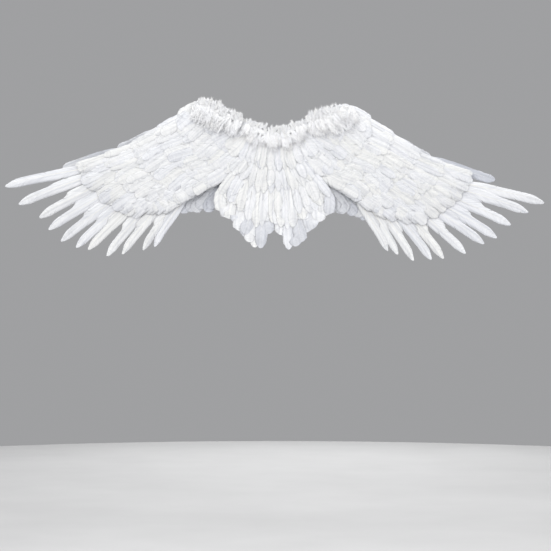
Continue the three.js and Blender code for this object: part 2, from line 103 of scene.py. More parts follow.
BACK_LINES = [
    ((0, 0.019, 0.038, 0.057, 0.072), (0.119, 0.122, 0.128, 0.141, 0.153)),
    ((0, 0.023, 0.045, 0.068, 0.091), (0.013, 0.009, 0.006, 0.009, 0.019)),
    ((0, 0.03, 0.057, 0.087, 0.113), (-0.113, -0.113, -0.1, -0.084, -0.062)),
    ((0, 0.042, 0.079, 0.121, 0.158), (-0.256, -0.25, -0.231, -0.194, -0.15)),
    ((0, 0.049, 0.102, 0.158, 0.215), (-0.438, -0.475, -0.425, -0.35, -0.269)),
    ((0, 0.057, 0.113, 0.162, 0.211), (-0.475, -0.631, -0.537, -0.444, -0.369)),
]

# Rows of feathers: first line, last line, count.
COVERT_ROWS = [(-1, 1, 9), (0, 2, 10), (1, 3, 11), (2, 4, 12), (3, 5, 13), (4, 6, 15)]
COVERT_START = 0.004
COVERT_END = 0.994
LEAD_SHOWN = 0.035
# How far the coverts end before the trailing edge, on lines -1 to 7, where the trailing row shows.
TRAIL_SHOWN = (0, 0, 0.01, 0.05, 0.11, 0.08, 0.02, 0, 0)
FELT_BEHIND = 0.035
BACK_ROWS = [(-1, 1, 8), (0, 2, 12), (1, 3, 14), (2, 4, 12)]
UNDER_ROWS = [(2.6, 4.4, 7), (3.8, 5.7, 8)]
UNDER_LEAD = -0.085
UNDER_TRAIL = 0.97
# How far the first feather of a covert row leans past the leading edge, in shares of a feather's spacing.
COVERT_POKE = 0.8
# How far the first feather of the outer row on the wearer's side reaches, beside the outermost long feather.
UNDER_LEAD_REACH = {-1: 1.6, 1: 1.9}
# Half the width of the notch between the back's two points, in feathers.
NOTCH_WIDTH = 1.19
# In the last back row, grey is the chance of a feather painted grey as painted shade.
LAST_BACK_ROW = {"uneven": 0.045, "notch": 0.54, "grey": 0.5}
LAST_COVERT_ROW = {"uneven": 0.055, "sink": 6.0}
# The trailing row: root x, root z, tip x, tip z, from the back outwards.
TRAILING_COUNT = 4
TRAILING_ROW = [
    (0.126, -0.137, 0.2, -0.283),
    (0.15, -0.15, 0.243, -0.369),
    (0.182, -0.167, 0.288, -0.37),
    (0.225, -0.19, 0.335, -0.398),
    (0.27, -0.212, 0.379, -0.4),
]
WING_BASE = {"first": -1, "last": 5.3, "lead": 0.05, "trail": 1.22}
# How far the base's trailing edge is drawn in, and the lines where that begins and ends.
WING_BASE_INSET = (0.3, 1.2, 3.7)

# Long feathers: left x, left z, right x, right z, length, from the outermost one inwards.
PRIMARIES = [
    (0.998, -0.239, 1.0, -0.34, 0.377),
    (0.952, -0.344, 0.945, -0.394, 0.377),
    (0.879, -0.426, 0.883, -0.472, 0.377),
    (0.847, -0.498, 0.835, -0.549, 0.377),
    (0.804, -0.569, 0.788, -0.588, 0.377),
    (0.749, -0.607, 0.72, -0.649, 0.37),
    (0.705, -0.621, 0.641, -0.678, 0.362),
    (0.636, -0.661, 0.595, -0.685, 0.355),
    (0.579, -0.649, 0.529, -0.691, 0.34),
    (0.5, -0.625, 0.468, -0.653, 0.32),
    (0.46, -0.6, 0.43, -0.63, 0.29),
]
QUILL_LINE = [(0.634, -0.131), (0.525, -0.212), (0.415, -0.231), (0.294, -0.212)]
PRIMARY_WIDTH = 29
PRIMARY_ROLL = 4
ROOT_LIFT = 9

# Down trims: x, z, line, width, height.
SIDE_TRIM = [
    (0.312, 0.262, 1.1, 0.35, 0.3),
    (0.29, 0.283, 1.1, 0.8, 0.8),
    (0.26, 0.278, 1.1, 1, 1),
    (0.225, 0.256, 0.85, 1.05, 1.05),
    (0.19, 0.228, 0.5, 1, 1),
    (0.155, 0.206, 0.2, 0.95, 0.9),
    (0.122, 0.19, -0.1, 0.8, 0.7),
]
NECK_TRIM = [
    (-0.108, 0.18, -0.57, 0.7, 0.7),
    (-0.08, 0.155, -0.57, 0.9, 0.9),
    (-0.045, 0.125, -0.57, 1, 1),
    (0, 0.112, -0.57, 1, 1),
    (0.045, 0.125, -0.57, 1, 1),
    (0.08, 0.155, -0.57, 0.9, 0.9),
    (0.108, 0.18, -0.57, 0.7, 0.7),
]

# Feather tips of a row, as in the part's source.
TIP_ALONG = 1.02
TIP_VARIATION = 0.035
LEAN_VARIATION = 0.06

# Panel and arm loops.
PANEL_HALF_WIDTH = 85
PANEL_TOP = 42
PANEL_BOTTOM = -150
PANEL_MIDDLE = (PANEL_TOP + PANEL_BOTTOM) / 2
PANEL_CORNER = 26
STRAP_WIDTH = 25
STRAP_THICK = 2
LOOP_REACH = 142
LOOP_HALF_HEIGHT = 117
LOOP_MIDDLE = -29
STRAP_PATH = [
    (0.729, 0.01, 0.282), (0.741, 0.01, 0.504), (0.8, 0.127, 0.812), (0.941, 0.437, 1),
    (1.129, 0.789, 0.778), (1.271, 1, 0.265), (1.318, 0.93, -0.35), (1.224, 0.592, -0.846),
    (1.012, 0.211, -1), (0.835, 0.01, -0.846), (0.812, 0.01, -0.607),
]


def smooth(low, high, value):
    share = np.clip((value - low) / (high - low), 0, 1)
    return share * share * (3 - 2 * share)


def vary(a, b):
    """A repeatable small variation between -1 and 1, as in the part's source."""
    wave = np.sin(a * 12.9898 + b * 78.233) * 437.585
    return 2 * (wave - np.floor(wave)) - 1


def weights_inside(count, t):
    place_on = (count - 1) * t
    index = np.minimum(np.floor(place_on), count - 2).astype(int)
    w = place_on - index
    parts = [
        (np.maximum(index - 1, 0), -0.5 * w**3 + w**2 - 0.5 * w),
        (index, 1.5 * w**3 - 2.5 * w**2 + 1),
        (index + 1, -1.5 * w**3 + 2 * w**2 + 0.5 * w),
        (np.minimum(index + 2, count - 1), 0.5 * w**3 - 0.5 * w**2),
    ]
    weights = np.zeros((t.size, count))
    rows = np.arange(t.size)
    for column, value in parts:
        weights[rows, column.ravel()] += value.ravel()
    return weights.reshape(t.shape + (count,))


def spline_weights(count, t):
    """Weights of a smooth line through count points at t, run on straight past either end."""
    t = np.asarray(t, float)
    edge = 0.01
    ends = weights_inside(count, np.array([0, edge, 1 - edge, 1.0]))
    below = (np.minimum(t, 0) / edge)[..., None] * (ends[1] - ends[0])
    above = (np.maximum(t - 1, 0) / edge)[..., None] * (ends[3] - ends[2])
    return weights_inside(count, np.clip(t, 0, 1)) + below + above


def along_table(values, t):
    """A smooth line through evenly spaced values or points."""
    values = np.asarray(values, float)
    return spline_weights(len(values), t) @ values



def unit(vectors):
    return vectors / np.linalg.norm(vectors, axis=-1, keepdims=True)


def turned(plan):
    """Plan vectors turned by a quarter, from X towards Z."""
    return np.stack([-plan[..., 1], plan[..., 0]], -1)


WING_FIELD = np.moveaxis(np.array(WING_LINES), 1, -1) * (HALF_SPAN, WING_HEIGHT)
BACK_FIELD = np.moveaxis(np.array(BACK_LINES), 1, -1) * (HALF_SPAN, WING_HEIGHT)


def on_field(field, line, across):
    """Plan points at line numbers and shares of the way across. Both fields start at line -1."""
    rows = spline_weights(len(field), (line + 1) / (len(field) - 1))
    columns = spline_weights(field.shape[1], across)
    found = np.einsum("...c,rcd->...rd", columns, field)
    return (rows[..., None] * found).sum(-2)


def surface_depth(x, z):
    out = np.abs(x)
    sweep = TIP_SWEEP * (np.maximum(0, out - SWEEP_START) / (HALF_SPAN - SWEEP_START)) ** 2
    middle = BULGE_MID_HEIGHT - BULGE_MID_SLOPE * (out - BULGE_FULL)
    chord = (z - middle) / BULGE_HALF_CHORD
    rise = smooth(BULGE_START, BULGE_FULL, out)
    skirt = (1 - rise) * smooth(-SKIRT_TOP, -SKIRT_BOTTOM, -z)
    return sweep + WING_BULGE * rise * np.exp(-chord * chord) + SKIRT_FLARE * skirt


def tilt_drop(x):
    return -TILT * x * smooth(TILT_START, TILT_FULL, np.abs(x))


def hung(side, plan):
    """Plan points of one wing on its own side, a little higher on the left than on the right."""
    x = side * plan[..., 0]
    return np.stack([x, plan[..., 1] + tilt_drop(x)], -1)


def place(plan, height):
    """Points in metres at heights above the wing's surface."""
    x, z = plan[..., 0], plan[..., 1]
    return np.stack([x, -(surface_depth(x, z) + height), z], -1) * MM


def quill_room(line, x):
    start, middle, end = QUILL_ROOM_LINES
    low, high = QUILL_ROOM_HEIGHTS
    room = low * smooth(start, middle, line) + (high - low) * smooth(middle, end, line)
    return room * smooth(QUILL_ROOM_INSIDE, QUILL_ROOM_OUTSIDE, np.abs(x))


def trail_shown(line):
    return along_table(TRAIL_SHOWN, (line + 1) / (len(TRAIL_SHOWN) - 1))


# Meshes
TUBE_SIDES = 4


def shape(points, quads, uv, tag, tris=(), flat=0, mat=0):
    """A mesh in arrays. flat is how many of the quads, from the last one back, are shaded flat."""
    tris = np.asarray(tris, int).reshape(-1, 3)
    return {
        "points": points.reshape(-1, 3),
        "quads": quads,
        "tris": tris,
        "smooth": np.arange(len(quads)) < len(quads) - flat,
        "uv": uv.reshape(-1, 2),
        "tag": tag.reshape(-1, 2),
        "quad_mat": np.full(len(quads), mat),
        "tri_mat": np.full(len(tris), mat),
    }


def joined(shapes):
    start = np.cumsum([0] + [len(s["points"]) for s in shapes])
    whole = {key: np.concatenate([s[key] for s in shapes]) for key in shapes[0]}
    whole["quads"] = np.concatenate([s["quads"] + start[i] for i, s in enumerate(shapes)])
    whole["tris"] = np.concatenate([s["tris"] + start[i] for i, s in enumerate(shapes)])
    return whole


def piece(node, word, slot, parts):
    """The object that stands for a CAD node, in those materials of its slot that its shapes use."""
    whole = joined(parts)
    quads, tris = whole["quads"], whole["tris"]
    mesh = bpy.data.meshes.new(f"{node}_{word}")
    mesh.vertices.add(len(whole["points"]))
    mesh.vertices.foreach_set("co", whole["points"].astype(np.float32).ravel())
    corners = np.concatenate([quads.ravel(), tris.ravel()]).astype(np.int32)
    mesh.loops.add(len(corners))
    mesh.loops.foreach_set("vertex_index", corners)
    mesh.polygons.add(len(quads) + len(tris))
    starts = np.concatenate([np.arange(len(quads)) * 4, len(quads) * 4 + np.arange(len(tris)) * 3])
    mesh.polygons.foreach_set("loop_start", starts.astype(np.int32))
    mesh.polygons.foreach_set("use_smooth", np.concatenate([whole["smooth"], np.ones(len(tris), bool)]))
    index = np.concatenate([whole["quad_mat"], whole["tri_mat"]])
    mesh.polygons.foreach_set("material_index", index.astype(np.int32))
    for title, key in (("Vane", "uv"), ("Feather", "tag")):
        layer = mesh.uv_layers.new(name=title)
        layer.data.foreach_set("uv", whole[key][corners].astype(np.float32).ravel())
    mesh.update(calc_edges=True)
    mesh.validate()
    for material in SLOT_MATERIALS[slot][:index.max() + 1]:
        mesh.materials.append(material)
    made = bpy.data.objects.new(f"{node}_{word}", mesh)
    bpy.context.scene.collection.objects.link(made)
    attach(made, "root")
    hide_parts(node)


def repeat(faces, count, step):
    """The same faces for each of count copies, whose points follow each other by step."""
    return (faces[None] + (np.arange(count) * step)[:, None, None]).reshape(-1, faces.shape[1])


def facing_out(faces, a, b, c, inside):
    """The faces, turned over where their corner a, b, c looks towards the point inside."""
    return faces[:, ::-1] if np.dot(np.cross(b - a, c - a), a - inside) < 0 else faces


def ring_walls(rings, around):
    """Point numbers on rings, those of the next points round, and the quads between the rings."""
    index = np.arange(rings * around).reshape(rings, around)
    after = np.roll(index, -1, 1)
    return index, after, np.stack([index[:-1], after[:-1], after[1:], index[1:]], -1).reshape(-1, 4)


def ring_faces(rings, around):
    """The quads between rings and a fan over each end, whose middle points follow the rings' points."""
    index, after, walls = ring_walls(rings, around)
    middle = np.full(around, rings * around)
    first = np.stack([middle, after[0], index[0]], -1)
    last = np.stack([middle + 1, index[-1], after[-1]], -1)
    return walls, np.concatenate([first, last])


def sheets(outer, inner, uv, tag):
    """Closed thin solids between outer and inner grids of points, both (copies, rows, columns, 3)."""
    copies, rows, columns = outer.shape[:3]
    size = rows * columns
    index = np.arange(size).reshape(rows, columns)
    top = np.stack([index[:-1, :-1], index[:-1, 1:], index[1:, 1:], index[1:, :-1]], -1).reshape(-1, 4)
    rim = np.concatenate([index[0, :-1], index[:-1, -1], index[-1, :0:-1], index[:0:-1, 0]])
    after = np.roll(rim, -1)
    border = np.stack([after, rim, rim + size, after + size], -1)
    faces = [repeat(f, copies, 2 * size) for f in (top, top[:, ::-1] + size, border)]
    i, j = rows // 2, columns // 2
    corner = (outer[0, i, j], outer[0, i, j + 1], outer[0, i + 1, j], inner[0, i, j])
    quads = facing_out(np.concatenate(faces), *corner)
    twice = lambda values: np.stack([values, values], 1)
    return shape(np.stack([outer, inner], 1), quads, twice(uv), twice(tag), flat=len(faces[2]))


def tubes(centres, across, over, uv, tag, mat=0, flat_shaded=False):
    """Closed tubes: centres (copies, rings, 3), with the half axes across and over of the same shape."""
    copies, rings = centres.shape[:2]
    turn = np.arange(TUBE_SIDES) * 2 * math.pi / TUBE_SIDES
    ring = across[:, :, None] * np.cos(turn)[:, None] + over[:, :, None] * np.sin(turn)[:, None]
    points = centres[:, :, None] + ring
    index, _, walls = ring_walls(rings, TUBE_SIDES)
    quads = repeat(np.concatenate([walls, index[:1, ::-1], index[-1:]]), copies, rings * TUBE_SIDES)
    quads = facing_out(quads, points[0, 0, 0], points[0, 0, 1], points[0, 1, 0], centres[0, 0])
    spread = lambda values: np.broadcast_to(values[:, :, None], (copies, rings, TUBE_SIDES, 2))
    flat = len(quads) if flat_shaded else 0
    return shape(points, quads, spread(uv), spread(tag), flat=flat, mat=mat)


# Feathers
# Places of a vane's points across it, from its trailing side to its leading side.
COLUMNS = np.array([-1, -0.72, -0.36, 0, 0.36, 0.72, 1])
VANE_THICK = 0.35
PATH_STEP = 0.004
SHAFT_END = 0.965
LAST_SPLIT = 0.93

# Looks of the feathers. The widths are shares of the half width at even steps from root to tip,
# on the leading side and on the trailing side. tip_from is the share where the tip starts to round off.
COVERT = {
    "body": 9, "tip": 7, "splits": 5, "tip_from": (0.8, 0.9),
    "slant": 1.8, "slant_most": 0.13, "slant_fade": 0.6,
    "lead": (0.05, 0.26, 0.58, 0.8, 0.92, 0.98, 1, 1, 0.98, 0.95, 0.92),
    "trail": (0.05, 0.3, 0.62, 0.84, 0.95, 1, 1, 1, 0.98, 0.95, 0.92),
    "blunt": (1.5, 2.6), "lift": 1.0, "curl": 1.6, "bend": 5,
    "split_from": 0.45, "split_open": (0.0015, 0.004), "split_depth": (0.3, 0.9),
    "ragged": 0.07, "shaft": (0.7, 0.25), "shaft_rings": 9,
}
BACK = {**COVERT, "tip_from": (0.66, 0.8), "blunt": (1.25, 1.9), "splits": 7}
PRIMARY = {
    "body": 30, "tip": 9, "splits": 5, "tip_from": (0.8, 0.84),
    "slant": 2.0, "slant_most": 0.25, "slant_fade": 0.7,
    "lead": (0.07, 0.1, 0.42, 0.68, 0.78, 0.74, 0.44, 0.36, 0.36, 0.34, 0.31),
    "trail": (0.07, 0.13, 0.46, 0.62, 0.66, 0.65, 0.63, 0.62, 0.6, 0.58, 0.54),
    "blunt": (1.5, 1.95), "lift": 1.2, "curl": 2, "bend": 2,
    "split_from": 0.3, "split_open": (0.002, 0.006), "split_depth": (0.2, 0.6),
    "ragged": 0.02, "shaft": (1.5, 0.35), "shaft_rings": 30,
}
# Half widths of the long feathers from the outermost to the innermost, as shares of PRIMARY_WIDTH.
PRIMARY_WIDTHS = (0.95, 0.94, 0.91, 0.87, 0.76)
# The outermost long feather has no wide base, since the grey one of the wearer's side, grey in painted shade,
# lies beside it.
# The next two feathers widen it step by step.
OUTERMOST_LEAD = (0.07, 0.1, 0.34, 0.44, 0.43, 0.39, 0.37, 0.36, 0.36, 0.34, 0.31)
LEAD_STEPS = 2

# How the feathers of a row lie: slope across, fold along the shaft, hollow, droop of the tip,
# and how far they stand off the row's level before and past the middle of their length.
LAID = {"roll": 0.03, "fold": 0.02, "cup": 0.3, "droop": 5.0, "stand": (0, 0)}
UNDERNEATH = {"roll": 0.03, "fold": 0.02, "cup": 0.3, "droop": 4.4, "stand": (-0.7, -0.7)}
ON_TOP = {"roll": 0.035, "fold": 0.045, "cup": 0.3, "droop": 2.6, "stand": (0.2, 1.8)}
SINGLE = {"roll": 0.1, "fold": 0.04, "cup": 0.9, "droop": 0.5, "stand": (0, 0)}
# The narrowest and the widest half width of a feather in a row.
FEATHER_HALF_WIDTHS = (11, 20)
# How far the long feathers curve towards the leading edge, in millimetres at even steps.
SICKLE = (0, 0.3, 0.9, 1.8, 2.9, 4.0, 5.0, 5.8, 6.0, 4.6, 0)


def stations(rng, count, look):
    """Shares of the cross rows of each feather, and how far each side is cut back there."""
    tip_from = rng.uniform(*look["tip_from"], (count, 1))
    body = tip_from * np.linspace(0, 1, look["body"])
    tip = tip_from + (1 - tip_from) * np.sin(np.linspace(0, math.pi / 2, look["tip"] + 1)[1:])
    even = np.concatenate([body, tip], 1)
    splits = look["splits"]
    middle = rng.uniform(look["split_from"], LAST_SPLIT, (count, splits))
    half_open = rng.uniform(*look["split_open"], (count, splits))
    depth = rng.uniform(*look["split_depth"], (count, splits))
    on_lead = rng.random((count, splits)) < 0.5
    extra = np.concatenate([middle - half_open, middle, middle + half_open], 1)
    share = np.concatenate([even, extra], 1)
    cut = np.ones((2, count, share.shape[1]))
    first = even.shape[1] + splits
    cut[0][:, first:first + splits] = np.where(on_lead, 1 - depth, 1)
    cut[1][:, first:first + splits] = np.where(on_lead, 1, 1 - depth)
    order = np.argsort(share, axis=1)
    share = np.take_along_axis(share, order, 1)
    cut = np.take_along_axis(cut, order[None], 2)
    return share, cut, tip_from


def path_frame(path, share):
    """Plan points on a path, and the directions across it towards the leading edge."""
    way = unit(path(share + PATH_STEP) - path(share - PATH_STEP))
    return path(share), turned(way) * path.lead_sign


def vane_sides(rng, share, cut, tip_from, half, look, limits):
    """Widths of the leading and of the trailing side at each cross row."""
    into_tip = np.clip((share - tip_from) / (1 - tip_from), 0, 1)
    blunt = rng.uniform(*look["blunt"], (len(half), 1))
    rounding = np.sqrt(np.maximum(1 - into_tip**blunt, 0)) * 0.97 + 0.03
    sides = []
    for name, limit, left in zip(("lead", "trail"), limits, cut):
        ragged = 1 + look["ragged"] * rng.uniform(-1, 1, share.shape)
        width = np.minimum(half[:, None] * along_table(look[name], share), np.reshape(limit, (-1, 1)))
        sides.append(width * rounding * ragged * left)
    return sides


def shafts(path, level, look, shaft_rise, bend, face, length, colour):
    """The feathers' shafts, thinner towards the tip, along the middle of their vanes."""
    ring = np.broadcast_to(np.linspace(0, SHAFT_END, look["shaft_rings"]), (len(colour), look["shaft_rings"]))
    here, lateral = path_frame(path, ring)
    plan = here + lateral * (bend[..., 0] * ring**2)[..., None]
    centre = place(plan, level(ring, plan) + face * shaft_rise(ring[..., None])[..., 0])
    thick, thin = look["shaft"]
    radius = (thin + (thick - thin) * (1 - ring) ** 1.3)[..., None] * MM
    across = np.stack([lateral[..., 0], np.zeros(ring.shape), lateral[..., 1]], -1) * radius
    over = OUT * radius * 0.8
    tag = np.broadcast_to(colour[:, None, None], ring.shape + (2,))
    uv = np.stack([ring * 0, ring * length[..., 0] * MM], -1)
    return tubes(centre, across, over, uv, tag, mat=1)


def grow(rng, path, level, half, face, look, lie, limits=(math.inf, math.inf), grey=0.0):
    """Feathers as closed vanes with shafts. path(share) gives plan points, level(share, plan) heights.
    half is each feather's half width. face is 1 for feathers that look away from the wearer.
    grey is the chance that a feather is painted grey, as painted shade."""
    count = len(half)
    each = (count, 1, 1)
    share, cut, tip_from = stations(rng, count, look)
    measure = np.broadcast_to(np.linspace(0, 1, 13), (count, 13))
    length = np.linalg.norm(np.diff(path(measure), axis=1), axis=-1).sum(1)[:, None, None]
    lead, trail = vane_sides(rng, share, cut, tip_from, half, look, limits)
    offset = np.where(COLUMNS > 0, COLUMNS * lead[..., None], COLUMNS * trail[..., None])

    # The cross rows slant towards the tip, as barbs do.
    half = half[:, None, None]
    fade = 1 - smooth(look["slant_fade"], 1, share)[..., None]
    slant = np.minimum(look["slant"] / length, look["slant_most"] / half)
    spot = share[..., None] + slant * np.abs(offset) * fade
    here, lateral = path_frame(path, spot)
    bend = look["bend"] * rng.uniform(-1, 1, each)
    plan = here + lateral * (offset + bend * spot**2)[..., None]

    roll = lie["roll"] + rng.normal(0, 0.015, each)
    twist = rng.normal(0, 0.012, each) * spot
    lift = look["lift"] + rng.uniform(-0.2, 0.2, each)
    curl = look["curl"] * np.maximum(rng.normal(-0.2, 0.6, each), 0)

    def shaft_rise(at):
        low, high = lie["stand"]
        stand = low + (high - low) * smooth(0.45, 0.75, at)
        return stand + curl * smooth(0.62, 1.05, at) - lie["droop"] * smooth(0.7, 1.03, at) + lift

    hollow = lie["cup"] * (offset / half) ** 2 + lie["fold"] * np.abs(offset)
    wave = 0.3 * np.sin(spot * 21 + rng.uniform(0, 6, each)) * (offset / half)
    height = level(spot, plan) + face * (shaft_rise(spot) + (roll + twist) * offset - hollow + wave)
    outer = place(plan, height + face * VANE_THICK / 2)
    inner = place(plan, height - face * VANE_THICK / 2)

    shift = rng.uniform(0, 5, each)
    along = share[..., None] * length * MM + shift
    uv = np.stack(np.broadcast_arrays(offset * MM + shift, along), -1)
    # Feathers drawn grey get a tag near 0, which the material paints as painted shade.
    colour = np.where(rng.random(count) < grey, rng.uniform(0, 0.05, count), rng.uniform(0.1, 1, count))
    # The tag's second value is the place across the vane, which the material turns into painted shade.
    tag = np.stack(np.broadcast_arrays(colour[:, None, None], (COLUMNS + 1) / 2, offset)[:2], -1)
    return [sheets(outer, inner, uv, tag), shafts(path, level, look, shaft_rise, bend, face, length, colour)]


class RowPath:
    """Plan points of the feathers in a row, whose roots and tips lie across the row's own field."""

    def __init__(self, spot, root, lean, reach, lead_way):
        self.spot, self.root, self.lean, self.reach = spot, root, lean, reach
        self.lead_sign = lead_way

    def reached(self, share):
        """Shares of the row's own length at shares of each feather's length."""
        return share * self.reach.reshape((-1,) + (1,) * (share.ndim - 1))

    def __call__(self, share):
        wide = (-1,) + (1,) * (share.ndim - 1)
        across = self.root.reshape(wide) + self.lean.reshape(wide) * np.clip(share, 0, 2) ** 2
        return self.spot(across, self.reached(share))


class LinePath:
    """Plan points of one long feather from its root to its tip, with its sickle curve."""

    def __init__(self, root, tip, side):
        self.root, self.run, self.lead_sign = root, tip - root, side

    def __call__(self, share):
        sideways = turned(unit(self.run)) * self.lead_sign
        return self.root + self.run * share[..., None] + sideways * along_table(SICKLE, share)[..., None]


def feather_row(rng, spot, level_at, count, seed, face, look, lead_way, full=0.72, skip_middle=False,
                on_top=0.2, poke=0.0, lead_reach=1.0, uneven=0.0, notch=0.0, grey=0.0, sink=0.0):
    """A row of feathers on the lobes of its CAD sheet, with others between them and a share over them.
    spot(across, along) gives plan points in the row's field, level_at(along, plan) their heights.
    poke leans the first feather past the leading edge, by that share of a feather's spacing.
    uneven varies the reach of the tips, notch shortens the feathers beside the row's middle,
    and sink lets the tips down onto what lies under the row."""
    index = np.arange(count)
    first = index == 0
    inner = np.arange(1, count)
    if skip_middle:
        inner = inner[inner != count // 2]
    notched = lambda root: 1 - notch * np.exp(-((root - 0.5) * count / NOTCH_WIDTH) ** 2)
    varied = lambda root: notched(root) * (1 + uneven * rng.uniform(-1, 1, len(root)))
    on_lobes, between = (index + 0.5) / count, inner / count
    lobes_reach = TIP_ALONG + TIP_VARIATION * vary(index, seed)
    # Each group: places of the roots, leans, reaches and how the feathers lie.
    groups = [
        (
            on_lobes,
            (LEAN_VARIATION * vary(seed, index) - poke * first) / count,
            lobes_reach * np.where(first, lead_reach, varied(on_lobes)),
            LAID,
        ),
        (
            between,
            rng.uniform(-0.25, 0.25, len(inner)) / count,
            rng.uniform(0.93, 1.06, len(inner)) * varied(between),
            UNDERNEATH,
        ),
    ]
    over = index[rng.random(count) < on_top]
    if len(over):
        groups.append((
            (over + rng.uniform(0.25, 0.75, len(over))) / count,
            rng.uniform(-0.3, 0.3, len(over)) / count,
            rng.uniform(0.84, 0.93, len(over)),
            ON_TOP,
        ))
    made = []
    for root, lean, reach, lie in groups:
        path = RowPath(spot, root, lean, reach, lead_way)
        step = 0.5 / count
        gap = np.linalg.norm(spot(root + step, 0.86 * reach) - spot(root - step, 0.86 * reach), axis=-1)
        half = np.clip(full * gap, *FEATHER_HALF_WIDTHS) * rng.uniform(0.85, 1.12, len(gap))
        to_lead = np.minimum(half, gap * root * count + 3)
        to_trail = np.minimum(half, gap * (1 - root) * count + 4)
        level = lambda share, plan: level_at(path.reached(share), plan)
        sunk = {**lie, "droop": lie["droop"] + sink}
        made += grow(rng, path, level, half, face, look, sunk, (to_lead, to_trail), grey)
    return made


def covert_row(rng, side, row, seed):
    first, last, count = row
    line_at = lambda along: first + (last - first) * along
    # The outermost rows leave the feathers of the wearer's side showing along the leading edge.
    start = COVERT_START + LEAD_SHOWN * smooth(2, 4, first)

    def spot(across, along):
        end = COVERT_END - trail_shown(line_at(along))
        return hung(side, on_field(WING_FIELD, line_at(along), start + (end - start) * across))

    def level(along, plan):
        return ROW_FLOOR + LAYER_STEP * (line_at(along) - first) + quill_room(line_at(along), plan[..., 0])

    extra = LAST_COVERT_ROW if row == COVERT_ROWS[-1] else {}
    return feather_row(rng, spot, level, count, seed + side, 1, COVERT, side, poke=COVERT_POKE, **extra)


def back_row(rng, row, seed):
    first, last, count = row
    line_at = lambda along: first + (last - first) * along

    def spot(across, along):
        half = 2 * across - 1
        return hung(np.sign(half), on_field(BACK_FIELD, line_at(along), BACK_REACH * np.abs(half)))

    level = lambda along, plan: ROW_FLOOR + BACK_RAISE + LAYER_STEP * (line_at(along) - first)
    extra = LAST_BACK_ROW if row == BACK_ROWS[-1] else {}
    # The two middle rows have no feather between the two halves.
    skip_middle = row in BACK_ROWS[1:-1]
    return feather_row(rng, spot, level, count, seed, 1, BACK, -1, full=0.62, skip_middle=skip_middle,
                       on_top=0.1, **extra)


def under_row(rng, side, row, seed):
    first, last, count = row
    line_at = lambda along: first + (last - first) * along

    def spot(across, along):
        lead = UNDER_LEAD * smooth(0, 0.6, along)
        return hung(side, on_field(WING_FIELD, line_at(along), lead + (UNDER_TRAIL - lead) * across))

    level = lambda along, plan: UNDER_FLOOR - UNDER_STEP * (line_at(along) - first)
    lead_reach = UNDER_LEAD_REACH[side] if row == UNDER_ROWS[-1] else 1
    return feather_row(rng, spot, level, count, seed + side, -1, COVERT, side, full=0.95, on_top=0,
                       lead_reach=lead_reach)


def trailing_row(rng, side, seed):
    table = np.array(TRAILING_ROW) * (HALF_SPAN, WING_HEIGHT, HALF_SPAN, WING_HEIGHT)

    def spot(across, along):
        roots, tips = along_table(table[:, :2], across), along_table(table[:, 2:], across)
        return hung(side, roots + (tips - roots) * along[..., None])

    level = lambda along, plan: TRAILING_LEVEL + 0 * along
    return feather_row(rng, spot, level, TRAILING_COUNT, seed + side, -1, COVERT, -side, full=0.8, on_top=0)


def primary(rng, side, row, index):
    *tips, length = row
    tip = np.array(tips[:2] if side < 0 else tips[2:]) * (side * HALF_SPAN, WING_HEIGHT)
    place_in_fan = np.array([index / (len(PRIMARIES) - 1)])
    start = along_table(QUILL_LINE, place_in_fan)[0] * (HALF_SPAN, WING_HEIGHT)
    aim = hung(side, start) - (0, side * ROOT_LIFT)
    root = tip - unit(tip - aim) * length * HALF_SPAN
    level = lambda share, plan: ROW_FLOOR + PRIMARY_ROLL * along_table(PRIMARY["trail"], np.clip(share, 0, 1))
    half = PRIMARY_WIDTH * along_table(PRIMARY_WIDTHS, place_in_fan)
    widened = min(index / LEAD_STEPS, 1)
    lead = (1 - widened) * np.array(OUTERMOST_LEAD) + widened * np.array(PRIMARY["lead"])
    return grow(rng, LinePath(root, tip, side), level, half, 1, {**PRIMARY, "lead": lead}, SINGLE)


# Down
PLUMES = 190
BARBS = 34
# Half widths of a barb at even steps from its foot to its tip, on the face and at the outline.
BARB_WIDE = (1.05, 0.9, 0.12)
BARB_FINE = (0.45, 0.36, 0.08)
# How far the plumes stand up over the edge: at the neckline, and from the outer end of each side inwards.
NECK_CREST = (0.85, 0.8, 0.85, 0.75, 0.7, 0.7, 0.8)
SIDE_CREST = {
    "left": (0.25, 0.55, 0.8, 0.75, 0.9, 0.9, 0.9),
    "right": (0.2, 0.2, 0.3, 0.7, 1.1, 1.25, 0.95),
}
# How much a row of feathers rises off the wing's surface for each millimetre towards the tips.
ROW_RISE = 0.075


class TrimBand:
    """The band of a down trim: its middle line, direction, upward side, width, height and floor."""

    def __init__(self, side, table, raise_by):
        self.side, self.table, self.raise_by = side, np.array(table, float), raise_by

    def middle(self, at):
        return hung(self.side, along_table(self.table[:, :2], at) * (HALF_SPAN, WING_HEIGHT))

    def __call__(self, at):
        way = unit(self.middle(at + 0.01) - self.middle(at - 0.01))
        upward = turned(way) * np.sign(way[..., :1])
        line, width, height = along_table(self.table[:, 2:], at).T
        floor = TRIM_FLOOR + self.raise_by + LAYER_STEP * (line + 1)
        return self.middle(at), way, upward, TRIM_HALF_WIDTH * width, TRIM_HEIGHT * height, floor


def at_depth(flat, y):
    """Points from pairs of x and z, at a depth y."""
    return np.stack([flat[:, 0], np.full(len(flat), y), flat[:, 1]], -1)


def lift_over(points, lowest):
    """Moves the points out to a height of at least lowest over the wing's surface."""
    points[..., 1] = np.minimum(points[..., 1], -(surface_depth(points[..., 0], points[..., 2]) + lowest))


